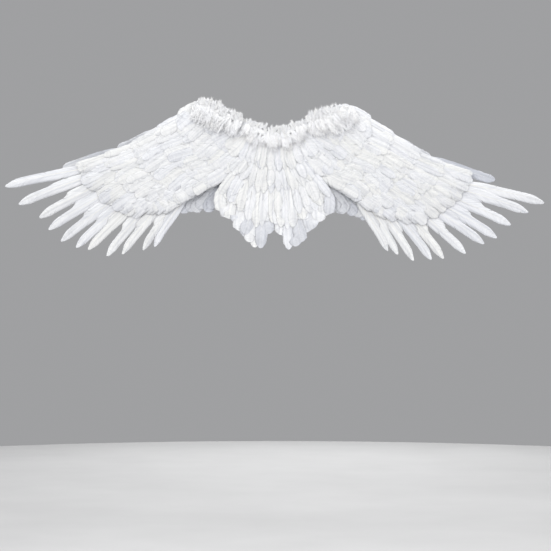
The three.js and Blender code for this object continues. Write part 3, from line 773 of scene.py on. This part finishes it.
class Plumes:
    """The curved shafts of the plumes on a band, and the way each plume's flat side faces."""

    def __init__(self, rng, band, crest, hang, outward):
        at = np.sort(rng.uniform(0, 1, PLUMES))
        # Plumes with their foot on the upper part of the band point up, the others down the feathers.
        foot_at = rng.uniform(-0.65, 0.38, PLUMES)
        self.up = foot_at + rng.normal(0, 0.2, PLUMES) > -0.1
        lean = np.where(self.up, rng.uniform(0.8, 1.45, PLUMES), rng.uniform(-1.5, -0.8, PLUMES))
        spot, way, upward, width, height, self.floor = band(at)
        foot_plan = spot + upward * (foot_at * width)[:, None]
        self.foot = place(foot_plan, self.floor + height * (0.14 + 0.26 * np.sqrt(1 - foot_at**2))) / MM
        sidelong = rng.normal(0, 0.38, PLUMES) - outward
        self.direction = unit(
            at_depth(upward, 0) * (np.sin(lean) * 1.2)[:, None]
            + OUT * (np.cos(lean) * 0.3 + 0.1)[:, None]
            + at_depth(way, 0) * sidelong[:, None]
        )
        self.cross = unit(np.cross(self.direction, OUT + rng.normal(0, 0.2, (PLUMES, 3))))
        self.facing = np.cross(self.cross, self.direction)
        hangs = np.clip(-np.sin(lean), 0, 1)
        rises = np.where(self.up, along_table(crest, at), 1)
        self.length = (width * rng.uniform(0.55, 1.3, PLUMES) * (0.85 * rises + hang * hangs))[:, None]
        self.bow = rng.normal(0, 0.2, (PLUMES, 1)) * self.cross + self.facing * (0.15 - 0.35 * hangs[:, None])

    def shaft(self, share):
        straight = self.direction[:, None] * (self.length * share)[..., None]
        return self.foot[:, None] + straight + self.bow[:, None] * (self.length * share**2)[..., None]


def down_barbs(rng, plumes):
    """Flat curved barbs to both sides of each plume's shaft."""
    direction, cross, facing = plumes.direction[:, None], plumes.cross[:, None], plumes.facing[:, None]
    where = 0.04 + 0.96 * (np.arange(BARBS) + rng.uniform(0, 1, (PLUMES, BARBS))) / BARBS
    turn = np.where(np.arange(BARBS) % 2 == 0, 1, -1)[:, None]
    open_by = rng.uniform(0.4, 0.8, (PLUMES, BARBS)) * (1.15 - 0.75 * where)
    aside = cross * turn + facing * rng.normal(0.05, 0.14, (PLUMES, BARBS, 1))
    heading = direction * np.cos(open_by)[..., None] + aside * np.sin(open_by)[..., None]
    span = plumes.length * rng.uniform(0.75, 1.15, (PLUMES, BARBS)) * (0.26 + 0.4 * np.sin(where * 2.6))
    curve = direction * 0.35 + rng.normal(0, 0.16, (PLUMES, BARBS, 3))

    # From here on the first index counts all barbs and the second one the three rings of each.
    total = PLUMES * BARBS
    spread = lambda values: np.broadcast_to(values, (PLUMES, BARBS, values.shape[-1])).reshape(total, 1, -1)
    share = np.linspace(0, 1, 3).reshape(1, 3, 1)
    normal, heading, span = spread(facing), spread(heading), spread(span[..., None])
    centres = spread(plumes.shaft(where)) + heading * span * share + spread(curve) * span * share**2 * 0.6
    # No barb goes below the level of the feathers beneath it.
    away = np.linalg.norm(centres[..., [0, 2]] - spread(plumes.foot[:, None])[..., [0, 2]], axis=-1)
    floor = spread(plumes.floor[:, None, None])[..., 0]
    lift_over(centres, floor + 1.5 + ROW_RISE * away + rng.uniform(0, 2.5, (total, 1)))
    fine = spread(np.where(plumes.up, 1, 0.75)[:, None, None] * rng.uniform(0.4, 1, (PLUMES, BARBS, 1)))
    wide = np.array(BARB_FINE)[:, None] * fine + np.array(BARB_WIDE)[:, None] * (1 - fine)
    wide = wide * rng.uniform(0.8, 1.25, (total, 1, 1))
    tag = np.broadcast_to(spread(rng.random((PLUMES, 1, 2))), (total, 3, 2))
    uv = np.stack(np.broadcast_arrays(0.0, share[..., 0], wide[..., 0])[:2], -1)
    across = unit(np.cross(normal, heading)) * wide * MM
    over = np.broadcast_to(normal, centres.shape) * 0.12 * MM
    return tubes(centres * MM, across, over, uv, tag, flat_shaded=True)


def down_stems(plumes):
    ring = np.broadcast_to(np.linspace(0, 1, 6), (PLUMES, 6))
    radius = (0.4 - 0.3 * ring)[..., None] * MM
    line = plumes.shaft(ring)
    lift_over(line, plumes.floor[:, None] + 1)
    uv = np.zeros((PLUMES, 6, 2))
    return tubes(line * MM, plumes.cross[:, None] * radius, plumes.facing[:, None] * radius, uv, uv + 0.6)


def down_core(rng, band):
    """The soft roll under the plumes, closed at both ends."""
    steps, around = 46, 12
    t = np.linspace(0, 1, steps)
    spot, _, upward, width, height, floor = band(t)
    angle = np.arange(around) * 2 * math.pi / around
    lump = 1 + 0.14 * rng.uniform(-1, 1, (steps, around))
    end = np.sqrt(np.clip(1 - (2 * t - 1) ** 8, 0.02, 1))[:, None]
    reach = (0.42 * np.cos(angle) - 0.1) * width[:, None] * lump * end
    rise = floor[:, None] + height[:, None] * (0.15 + 0.12 * np.sin(angle) * lump * end)
    ring = place(spot[:, None] + upward[:, None] * reach[..., None], rise)
    points = np.concatenate([ring.reshape(-1, 3), ring[[0, -1]].mean(1)])
    corner = (ring[0, 0], ring[0, 1], ring[1, 0], ring[0].mean(0))
    walls, caps = (facing_out(faces, *corner) for faces in ring_faces(steps, around))
    tag = rng.random((len(points), 2)) * 0.2 + 0.4
    return shape(points, walls, np.zeros(tag.shape), tag, tris=caps)


def downy(rng, side, table, raise_by, crest, hang, outward):
    """Plumes of flat barbs on a soft core, on the band of a down trim.
    crest is how far the plumes stand up over the edge, at even steps along the band.
    hang lengthens the plumes over the feathers, and outward leans all of them away from the back."""
    band = TrimBand(side, table, raise_by)
    plumes = Plumes(rng, band, crest, hang, outward)
    return [down_barbs(rng, plumes), down_stems(plumes), down_core(rng, band)]


# Felt, panel and loops
FELT_BORDER_DIP = 0.55
# A stitch's cross rows: share of its length, bow off the cloth and half width, in shares of its radius.
STITCH_ROWS = [(0, 0, 0.35), (0.15, 0.45, 0.9), (0.5, 0.6, 1), (0.85, 0.45, 0.9), (1, 0, 0.35)]
# Rings of the panel from the middle of one face to its edge: how far drawn in, and how far below the face.
PANEL_RINGS = [(60, 0), (30, 0), (8, 0), (5, 0.35), (2, 0.05), (0.7, 0.15), (0, 1.1)]
PANEL_RING_POINTS = 220
PANEL_STITCHES = 232
PANEL_STITCH_INSET = 5
CORNER_STEPS = 12
# The sewn boxes that hold each loop's ends to the panel: x and z of their middles, and half their size.
SEWN_BOXES = [(62.4, 13), (69.8, -110)]
SEWN_HALF_WIDTH = 8.5
SEWN_HALF_HEIGHT = 8


def border_steps(count, first):
    """Even shares with closer ones at both ends, for a rounded border."""
    return np.concatenate([[0, first], np.linspace(3 * first, 1 - 3 * first, count - 4), [1 - first, 1]])


def wing_base(side):
    """A felt sheet under the rows, with its edge rounded over a thinner border."""
    line = (WING_BASE["first"] + (WING_BASE["last"] - WING_BASE["first"]) * border_steps(60, 0.004))[:, None]
    inset, inset_from, inset_to = WING_BASE_INSET
    end = WING_BASE["trail"] - inset * smooth(inset_from, inset_to, line)
    # Past the back rows the felt stays just behind the ends of the coverts.
    hidden = COVERT_END - FELT_BEHIND - trail_shown(line)
    end = end - np.maximum(end - hidden, 0) * smooth(1.7, 2.4, line)
    across = WING_BASE["lead"] + (end - WING_BASE["lead"]) * border_steps(30, 0.005)
    plan = hung(side, on_field(WING_FIELD, line + 0 * across, across))[None]
    soft = np.full(plan.shape[:3], FELT_BORDER_DIP)
    soft[:, 1:-1, 1:-1] = 0
    uv = plan * MM
    return [sheets(place(plan, BASE_OUTER - soft), place(plan, BASE_INNER + soft), uv, uv * 0 + 0.5)]


def stitch(starts, ends, radius):
    """Thread stitches as small closed rods, bowed off the cloth at their middle. Millimetres."""
    share, bow, swell = np.array(STITCH_ROWS).T.reshape(3, 1, len(STITCH_ROWS), 1)
    along = (ends - starts)[:, None]
    centres = starts[:, None] + along * share - OUT * bow * radius
    across = unit(np.cross(unit(along), -OUT)) * swell * radius
    over = np.broadcast_to(-OUT * swell * radius * 0.8, centres.shape)
    uv = np.zeros(centres.shape[:2] + (2,))
    return tubes(centres * MM, across * MM, over * MM, uv, uv + 0.5, mat=1)


def rounded_outline(inset, count):
    """Points round the panel, drawn in by inset, at even steps."""
    w, r = PANEL_HALF_WIDTH - inset, PANEL_CORNER - inset
    top, bottom = PANEL_TOP - inset, PANEL_BOTTOM + inset
    points = []
    corners = [(w - r, top - r), (r - w, top - r), (r - w, bottom + r), (w - r, bottom + r)]
    for quarter, (cx, cz) in enumerate(corners):
        for k in range(CORNER_STEPS + 1):
            angle = (quarter + k / CORNER_STEPS) * math.pi / 2
            points.append((cx + r * math.cos(angle), cz + r * math.sin(angle)))
    points = np.array(points + points[:1])
    run = np.concatenate([[0], np.cumsum(np.linalg.norm(np.diff(points, axis=0), axis=1))])
    even = np.linspace(0, run[-1], count, endpoint=False)
    return np.stack([np.interp(even, run, points[:, 0]), np.interp(even, run, points[:, 1])], -1)


def panel_ring(inset):
    """One ring of the panel. Further in than its corners are round, the rings shrink to the middle."""
    drawn_in = min(inset, PANEL_CORNER - 1)
    shrink = 1 - (inset - drawn_in) / PANEL_RINGS[0][0]
    middle = (0, PANEL_MIDDLE)
    return middle + (rounded_outline(drawn_in, PANEL_RING_POINTS) - middle) * shrink


def back_panel():
    """The felt panel with a rounded edge and a line of stitches near its border."""
    profile = [(inset, -dip) for inset, dip in PANEL_RINGS]
    profile += [(inset, dip - PANEL_THICK) for inset, dip in PANEL_RINGS[-2::-1]]
    rings = [at_depth(panel_ring(inset), y) for inset, y in profile]
    middles = [(0, 0, PANEL_MIDDLE), (0, -PANEL_THICK, PANEL_MIDDLE)]
    points = np.concatenate(rings + [middles]) * MM
    walls, caps = (faces[:, ::-1] for faces in ring_faces(len(rings), PANEL_RING_POINTS))
    uv = points[:, [0, 2]]
    line = rounded_outline(PANEL_STITCH_INSET, PANEL_STITCHES)
    step = np.roll(line, -1, axis=0) - line
    stitches = stitch(at_depth(line + step * 0.12, 0), at_depth(line + step * 0.8, 0), 0.42)
    return [shape(points, walls, uv, uv * 0 + 0.5, tris=caps), stitches]


def strap_curve(side, count):
    """The loop's middle line, as three.js draws a centripetal Catmull-Rom curve through its points."""
    size = (side * PANEL_HALF_WIDTH, LOOP_REACH, LOOP_HALF_HEIGHT)
    points = np.array(STRAP_PATH) * size + (0, 0, LOOP_MIDDLE)
    padded = np.concatenate([[2 * points[0] - points[1]], points, [2 * points[-1] - points[-2]]])
    found = []
    for t in np.linspace(0, len(points) - 1, count):
        i = min(int(t), len(points) - 2)
        w = t - i
        p = padded[i:i + 4]
        gaps = np.sqrt(np.linalg.norm(np.diff(p, axis=0), axis=1))
        t1 = (p[1] - p[0]) / gaps[0] - (p[2] - p[0]) / (gaps[0] + gaps[1]) + (p[2] - p[1]) / gaps[1]
        t2 = (p[2] - p[1]) / gaps[1] - (p[3] - p[1]) / (gaps[1] + gaps[2]) + (p[3] - p[2]) / gaps[2]
        t1, t2 = t1 * gaps[1], t2 * gaps[1]
        a = 2 * p[1] - 2 * p[2] + t1 + t2
        b = -3 * p[1] + 3 * p[2] - 2 * t1 - t2
        found.append(a * w**3 + b * w**2 + t1 * w + p[1])
    found = np.array(found)
    found[:, 1] = np.maximum(found[:, 1], STRAP_THICK / 2 + CLEARANCE)
    return found


def sewn_box(middle):
    """Stitches round a box and across it, on the tape."""
    w, h = SEWN_HALF_WIDTH, SEWN_HALF_HEIGHT
    a, b, c, d = np.array([(-w, -h), (w, -h), (w, h), (-w, h)]) + middle
    starts, ends = [], []
    for p, q, count in ((a, b, 6), (b, c, 6), (c, d, 6), (d, a, 6), (a, c, 8), (b, d, 8)):
        cut = np.arange(count)[:, None]
        starts.append(p + (q - p) * (cut + 0.1) / count)
        ends.append(p + (q - p) * (cut + 0.85) / count)
    on_tape = lambda flats: at_depth(np.concatenate(flats), STRAP_THICK + CLEARANCE + 0.05)
    return stitch(on_tape(starts), on_tape(ends), 0.4)


def arm_loop(side):
    """Flat elastic tape with lengthwise ribs, sewn down at both ends."""
    middle = strap_curve(side, 110)
    way = np.gradient(middle, axis=0)
    out = unit(np.stack([0 * way[:, 0], way[:, 2], -way[:, 1]], -1))[:, None]
    columns = np.linspace(-1, 1, 21)
    edge = np.abs(columns) ** 14
    rib = 0.16 * np.cos(columns * math.pi * 6) * (1 - edge)
    thick = (STRAP_THICK / 2) * (0.82 - 0.45 * edge + rib)[:, None]
    base = middle[:, None] + np.array([1.0, 0, 0]) * (columns * STRAP_WIDTH / 2)[:, None]
    run = np.concatenate([[0], np.cumsum(np.linalg.norm(np.diff(middle, axis=0), axis=1))])
    uv = np.stack(np.broadcast_arrays(columns * STRAP_WIDTH / 2, run[:, None]), -1)[None] * MM
    tape = sheets((base + out * thick)[None] * MM, (base - out * thick)[None] * MM, uv, uv * 0 + 0.5)
    return [tape] + [sewn_box((side * x, z)) for x, z in SEWN_BOXES]


# Materials
PURE = (1, 1, 1)
# Painted shade: the grey given to some white feathers in place of shadow.
PAINTED_SHADE_GREY = (0.8, 0.81, 0.84)
# Painted shade from a vane's trailing edge, which lies under the neighbouring feather, over the shaft, in the
# middle, to its leading edge.
VANE_PAINTED_SHADE = [
    (0.0, (0.93, 0.935, 0.945)),
    (0.3, (0.985, 0.986, 0.99)),
    (0.6, PURE),
    (1.0, (0.97, 0.972, 0.975)),
]


class Look:
    """A material's node tree. Each call adds nodes and returns an output socket."""

    def __init__(self, name):
        self.material = bpy.data.materials.new(name)
        self.material.use_nodes = True
        self.tree = self.material.node_tree
        self.tree.nodes.clear()

    def node(self, kind, inputs=(), **settings):
        """A new node. Sockets among its inputs are linked, and all other values are set."""
        made = self.tree.nodes.new(kind)
        for name, value in settings.items():
            setattr(made, name, value)
        for name, value in dict(inputs).items():
            if isinstance(value, bpy.types.NodeSocket):
                self.tree.links.new(value, made.inputs[name])
            else:
                made.inputs[name].default_value = value
        return made

    def uv(self, name, scale):
        source = self.node("ShaderNodeUVMap", uv_map=name).outputs["UV"]
        return self.node("ShaderNodeMapping", {"Vector": source, "Scale": scale}).outputs["Vector"]

    def tags(self):
        """Each feather's own tint as X, near 0 for the feathers painted grey as painted shade, and the place
        across its vane as Y, which the feather material turns into a painted shade.
        """
        return self.node("ShaderNodeSeparateXYZ", {"Vector": self.uv("Feather", (1, 1, 1))}).outputs

    def noise(self, vector, scale, detail, rough):
        inputs = {"Vector": vector, "Scale": scale, "Detail": detail, "Roughness": rough}
        return self.node("ShaderNodeTexNoise", inputs).outputs["Fac"]

    def vane_noise(self, across, along, detail, rough=0.5):
        """Noise with its own scale across and along a vane, felt or tape."""
        return self.noise(self.uv("Vane", (across, along, 1)), 1, detail, rough)

    def object_noise(self, scale, detail, rough=0.5):
        return self.noise(self.node("ShaderNodeTexCoord").outputs["Object"], scale, detail, rough)

    def ramp(self, value, *stops):
        made = self.node("ShaderNodeValToRGB", {"Fac": value})
        elements = made.color_ramp.elements
        while len(elements) < len(stops):
            elements.new(0.5)
        for element, (at, colour) in zip(elements, stops):
            element.position = at
            element.color = (*colour, 1)
        return made.outputs["Color"]

    def mixed(self, factor, a, b, mode="MIX"):
        inputs = {0: factor, 6: a, 7: b}
        return self.node("ShaderNodeMix", inputs, data_type="RGBA", blend_type=mode).outputs[2]

    def shaded(self, colour, *shades):
        """The colour multiplied by each shade in turn."""
        for shade in shades:
            colour = self.mixed(1.0, colour, shade, "MULTIPLY")
        return colour

    def bump(self, height, strength, distance, **under):
        inputs = {"Height": height, "Strength": strength, "Distance": distance, **under}
        return self.node("ShaderNodeBump", inputs).outputs["Normal"]

    def finished(self, colour, normal, roughness, sheen=0, through=0):
        """A Principled surface, with a share of light let through where through is above 0."""
        surface = self.node("ShaderNodeBsdfPrincipled", {
            "Base Color": colour,
            "Normal": normal,
            "Roughness": roughness,
            "Sheen Weight": sheen,
            "Sheen Roughness": 0.5,
            "Specular IOR Level": 0.3,
        }).outputs["BSDF"]
        if through:
            thin = self.node("ShaderNodeBsdfTranslucent", {"Color": colour, "Normal": normal}).outputs["BSDF"]
            inputs = {"Fac": through, 1: surface, 2: thin}
            surface = self.node("ShaderNodeMixShader", inputs).outputs["Shader"]
        self.node("ShaderNodeOutputMaterial", {"Surface": surface})
        return self.material


def feather_material(name, cool, plain, warm, through):
    """Barbs as fine streaks from the shaft outwards, bands of them along the vane,
    a slightly different white on each feather, a painted-shade grey on some, and a painted shade towards its
    trailing edge, which lies under the neighbouring feather."""
    look = Look(name)
    tags = look.tags()
    # Tags near 0 give the painted-shade grey.
    tint = look.ramp(tags["X"], (0.02, PAINTED_SHADE_GREY), (0.1, cool), (0.5, plain), (0.9, warm))
    # Painted shade across each vane, darkest at its trailing edge under the neighbouring feather.
    across = look.ramp(tags["Y"], *VANE_PAINTED_SHADE)
    clumps = look.vane_noise(22, 210, 2.5, 0.6)
    barbs = look.vane_noise(45, 1300, 1.5)
    bands = look.vane_noise(160, 8, 2)
    streak = look.ramp(clumps, (0.3, (0.87, 0.875, 0.885)), (0.6, PURE))
    fine = look.ramp(barbs, (0.3, (0.94, 0.945, 0.955)), (0.6, PURE))
    lengthwise = look.ramp(bands, (0.33, (0.84, 0.845, 0.86)), (0.56, PURE))
    colour = look.shaded(tint, across, streak, fine, lengthwise)
    normal = look.bump(clumps, 0.25, 0.0005)
    return look.finished(colour, look.bump(barbs, 0.3, 0.00025, Normal=normal), 0.55, 0.12, through)


def quill_material():
    look = Look("quill")
    run = look.vane_noise(1, 60, 2)
    colour = look.ramp(run, (0.3, (0.86, 0.84, 0.78)), (0.7, (0.93, 0.92, 0.88)))
    return look.finished(colour, look.bump(run, 0.2, 0.0002), 0.38)


def down_material():
    look = Look("down")
    tags = look.tags()
    shades = [(0.1, (0.95, 0.953, 0.965)), (0.6, (0.97, 0.97, 0.972)), (1, (0.97, 0.966, 0.958))]
    tint = look.ramp(tags["X"], *shades)
    soft = look.object_noise(420, 3, 0.6)
    shade = look.ramp(soft, (0.3, (0.95, 0.955, 0.965)), (0.6, PURE))
    return look.finished(look.shaded(tint, shade), look.bump(soft, 0.2, 0.0006), 0.8, 0.3, 0.2)


def felt_material():
    """Matted fibres: crossing stretched noises for the hairs and a soft mottle below them."""
    look = Look("felt")
    mottle = look.object_noise(60, 4, 0.6)
    fibres = look.mixed(0.5, look.vane_noise(260, 1700, 3, 0.6), look.vane_noise(1500, 300, 3, 0.6))
    colour = look.ramp(mottle, (0.3, (0.79, 0.785, 0.77)), (0.7, (0.88, 0.875, 0.86)))
    shade = look.ramp(fibres, (0.35, (0.86, 0.86, 0.86)), (0.6, PURE))
    normal = look.bump(mottle, 0.4, 0.0012)
    return look.finished(look.shaded(colour, shade), look.bump(fibres, 0.7, 0.0005, Normal=normal), 0.92, 0.3)


def elastic_material():
    """Woven elastic: ribs along the tape and the weft's small steps across it."""
    look = Look("elastic")
    vector = look.uv("Vane", (1, 1, 1))
    heights = []
    for direction, scale in (("X", 260), ("Y", 420)):
        inputs = {"Vector": vector, "Scale": scale, "Distortion": 0.6, "Detail": 1.0}
        heights.append(look.node("ShaderNodeTexWave", inputs, bands_direction=direction).outputs["Fac"])
    weave = look.mixed(0.5, *heights)
    colour = look.ramp(weave, (0.2, (0.74, 0.74, 0.73)), (0.7, (0.9, 0.9, 0.89)))
    shade = look.ramp(look.object_noise(900, 2), (0.3, (0.93, 0.93, 0.93)), (0.7, PURE))
    return look.finished(look.shaded(colour, shade), look.bump(weave, 0.6, 0.0004), 0.7, 0.15)


def thread_material():
    look = Look("thread")
    twist = look.object_noise(1500, 2)
    colour = look.ramp(twist, (0.3, (0.7, 0.69, 0.67)), (0.7, (0.85, 0.84, 0.82)))
    return look.finished(colour, look.bump(twist, 0.5, 0.0002), 0.6, 0.1)


def floor_material():
    look = Look("studio_floor")
    soft = look.object_noise(3, 3)
    colour = look.ramp(soft, (0.3, (0.6, 0.6, 0.6)), (0.7, (0.64, 0.64, 0.64)))
    return look.finished(colour, look.bump(soft, 0.05, 0.002), 0.8)


WHITES = ((0.943, 0.948, 0.967), (0.965, 0.966, 0.97), (0.97, 0.967, 0.95))
# The feathers of the wearer's side are white; these greys are painted shade.
SHADED_UNDER_GREYS = ((0.72, 0.735, 0.78), (0.79, 0.8, 0.83), (0.84, 0.845, 0.86))
WHITE = feather_material("white_feather", *WHITES, 0.25)
UNDER = feather_material("under_feather", *SHADED_UNDER_GREYS, 0.3)
QUILL = quill_material()
THREAD = thread_material()
SLOT_MATERIALS = {
    "white_feather": [WHITE, QUILL],
    "under_feather": [UNDER, QUILL],
    "down": [down_material()],
    "felt": [felt_material(), THREAD],
    "elastic": [elastic_material(), THREAD],
}

# The pieces
SEED = 20


def seeded(number):
    return np.random.default_rng(SEED * 1000 + number)


def back():
    for i, row in enumerate(BACK_ROWS):
        piece(f"back_row_{i + 1}", "feathers", "white_feather", back_row(seeded(i), row, 20 + i))
    neck = downy(seeded(10), 1, NECK_TRIM, BACK_RAISE, NECK_CREST, hang=0.6, outward=0)
    piece("neck_down", "plumes", "down", neck)
    piece("back_panel", "felt", "felt", back_panel())


def wing(word, side, start):
    """All pieces of one wing. start is the number of its first seed."""
    for i, row in enumerate(COVERT_ROWS):
        parts = covert_row(seeded(start + i), side, row, i)
        piece(f"coverts_{word}_{i + 1}", "feathers", "white_feather", parts)
    # The rows of the wearer's side take the grey material, which is painted shade.
    for i, row in enumerate(UNDER_ROWS):
        parts = under_row(seeded(start + 10 + i), side, row, 40 + i)
        piece(f"under_row_{word}_{i + 1}", "feathers", "under_feather", parts)
    piece(f"trailing_row_{word}", "feathers", "under_feather", trailing_row(seeded(start + 15), side, 60))
    for i, row in enumerate(PRIMARIES):
        parts = primary(seeded(start + 20 + i), side, row, i)
        piece(f"primary_{word}_{i + 1}", "feather", "white_feather", parts)
    trim = downy(seeded(start + 40), side, SIDE_TRIM, 0, SIDE_CREST[word], hang=0.95, outward=0.55)
    piece(f"down_trim_{word}", "plumes", "down", trim)
    piece(f"wing_base_{word}", "felt", "felt", wing_base(side))
    piece(f"arm_loop_{word}", "tape", "elastic", arm_loop(side))


back()
wing("left", -1, 100)
wing("right", 1, 200)

# Floor, light and camera, in metres
FLOOR_HEIGHT = -1.17
FLOOR_RADIUS = 3.2
LIT_POINT = (0, -0.05, -0.05)
CAMERA_PLACE = (0.003, -5.59, -0.3765)
# The camera's distance from the wings, and the width that the picture shows there.
CAMERA_DISTANCE = 5.5
PICTURE_WIDTH = 1.653
SENSOR_WIDTH = 36


def make_floor():
    turn = np.linspace(0, 2 * math.pi, 96, endpoint=False)
    points = [(FLOOR_RADIUS * math.cos(a), FLOOR_RADIUS * math.sin(a), FLOOR_HEIGHT) for a in turn]
    mesh = bpy.data.meshes.new("floor")
    mesh.from_pydata(points, [], [list(range(len(points)))])
    mesh.materials.append(floor_material())
    made = bpy.data.objects.new("floor", mesh)
    bpy.context.scene.collection.objects.link(made)


def area_light(name, spot, size, watts):
    data = bpy.data.lights.new(name, "AREA")
    data.shape = "DISK"
    data.size = size
    data.energy = watts
    made = bpy.data.objects.new(name, data)
    made.location = spot
    made.rotation_euler = (Vector(LIT_POINT) - Vector(spot)).to_track_quat("-Z", "Y").to_euler()
    bpy.context.scene.collection.objects.link(made)


def studio():
    world = bpy.data.worlds.new("studio")
    world.use_nodes = True
    background = world.node_tree.nodes["Background"]
    background.inputs["Color"].default_value = (0.35, 0.352, 0.36, 1)
    background.inputs["Strength"].default_value = 1.0
    bpy.context.scene.world = world
    area_light("key", (-1.4, -3.9, 1.7), 3.0, 130)
    area_light("fill", (2.6, -3.4, 0.3), 2.8, 54)
    area_light("top", (0.2, -0.6, 2.4), 1.8, 30)
    area_light("back", (0.3, 3.0, 1.1), 2.6, 62)


def make_camera():
    data = bpy.data.cameras.new("camera")
    made = bpy.data.objects.new("camera", data)
    bpy.context.scene.collection.objects.link(made)
    made.location = CAMERA_PLACE
    made.rotation_euler = (math.pi / 2, 0, 0)
    data.sensor_width = SENSOR_WIDTH
    data.lens = SENSOR_WIDTH * CAMERA_DISTANCE / PICTURE_WIDTH
    data.clip_end = 40
    bpy.context.scene.camera = made


make_floor()
studio()
make_camera()
bpy.context.scene.view_settings.view_transform = "Standard"
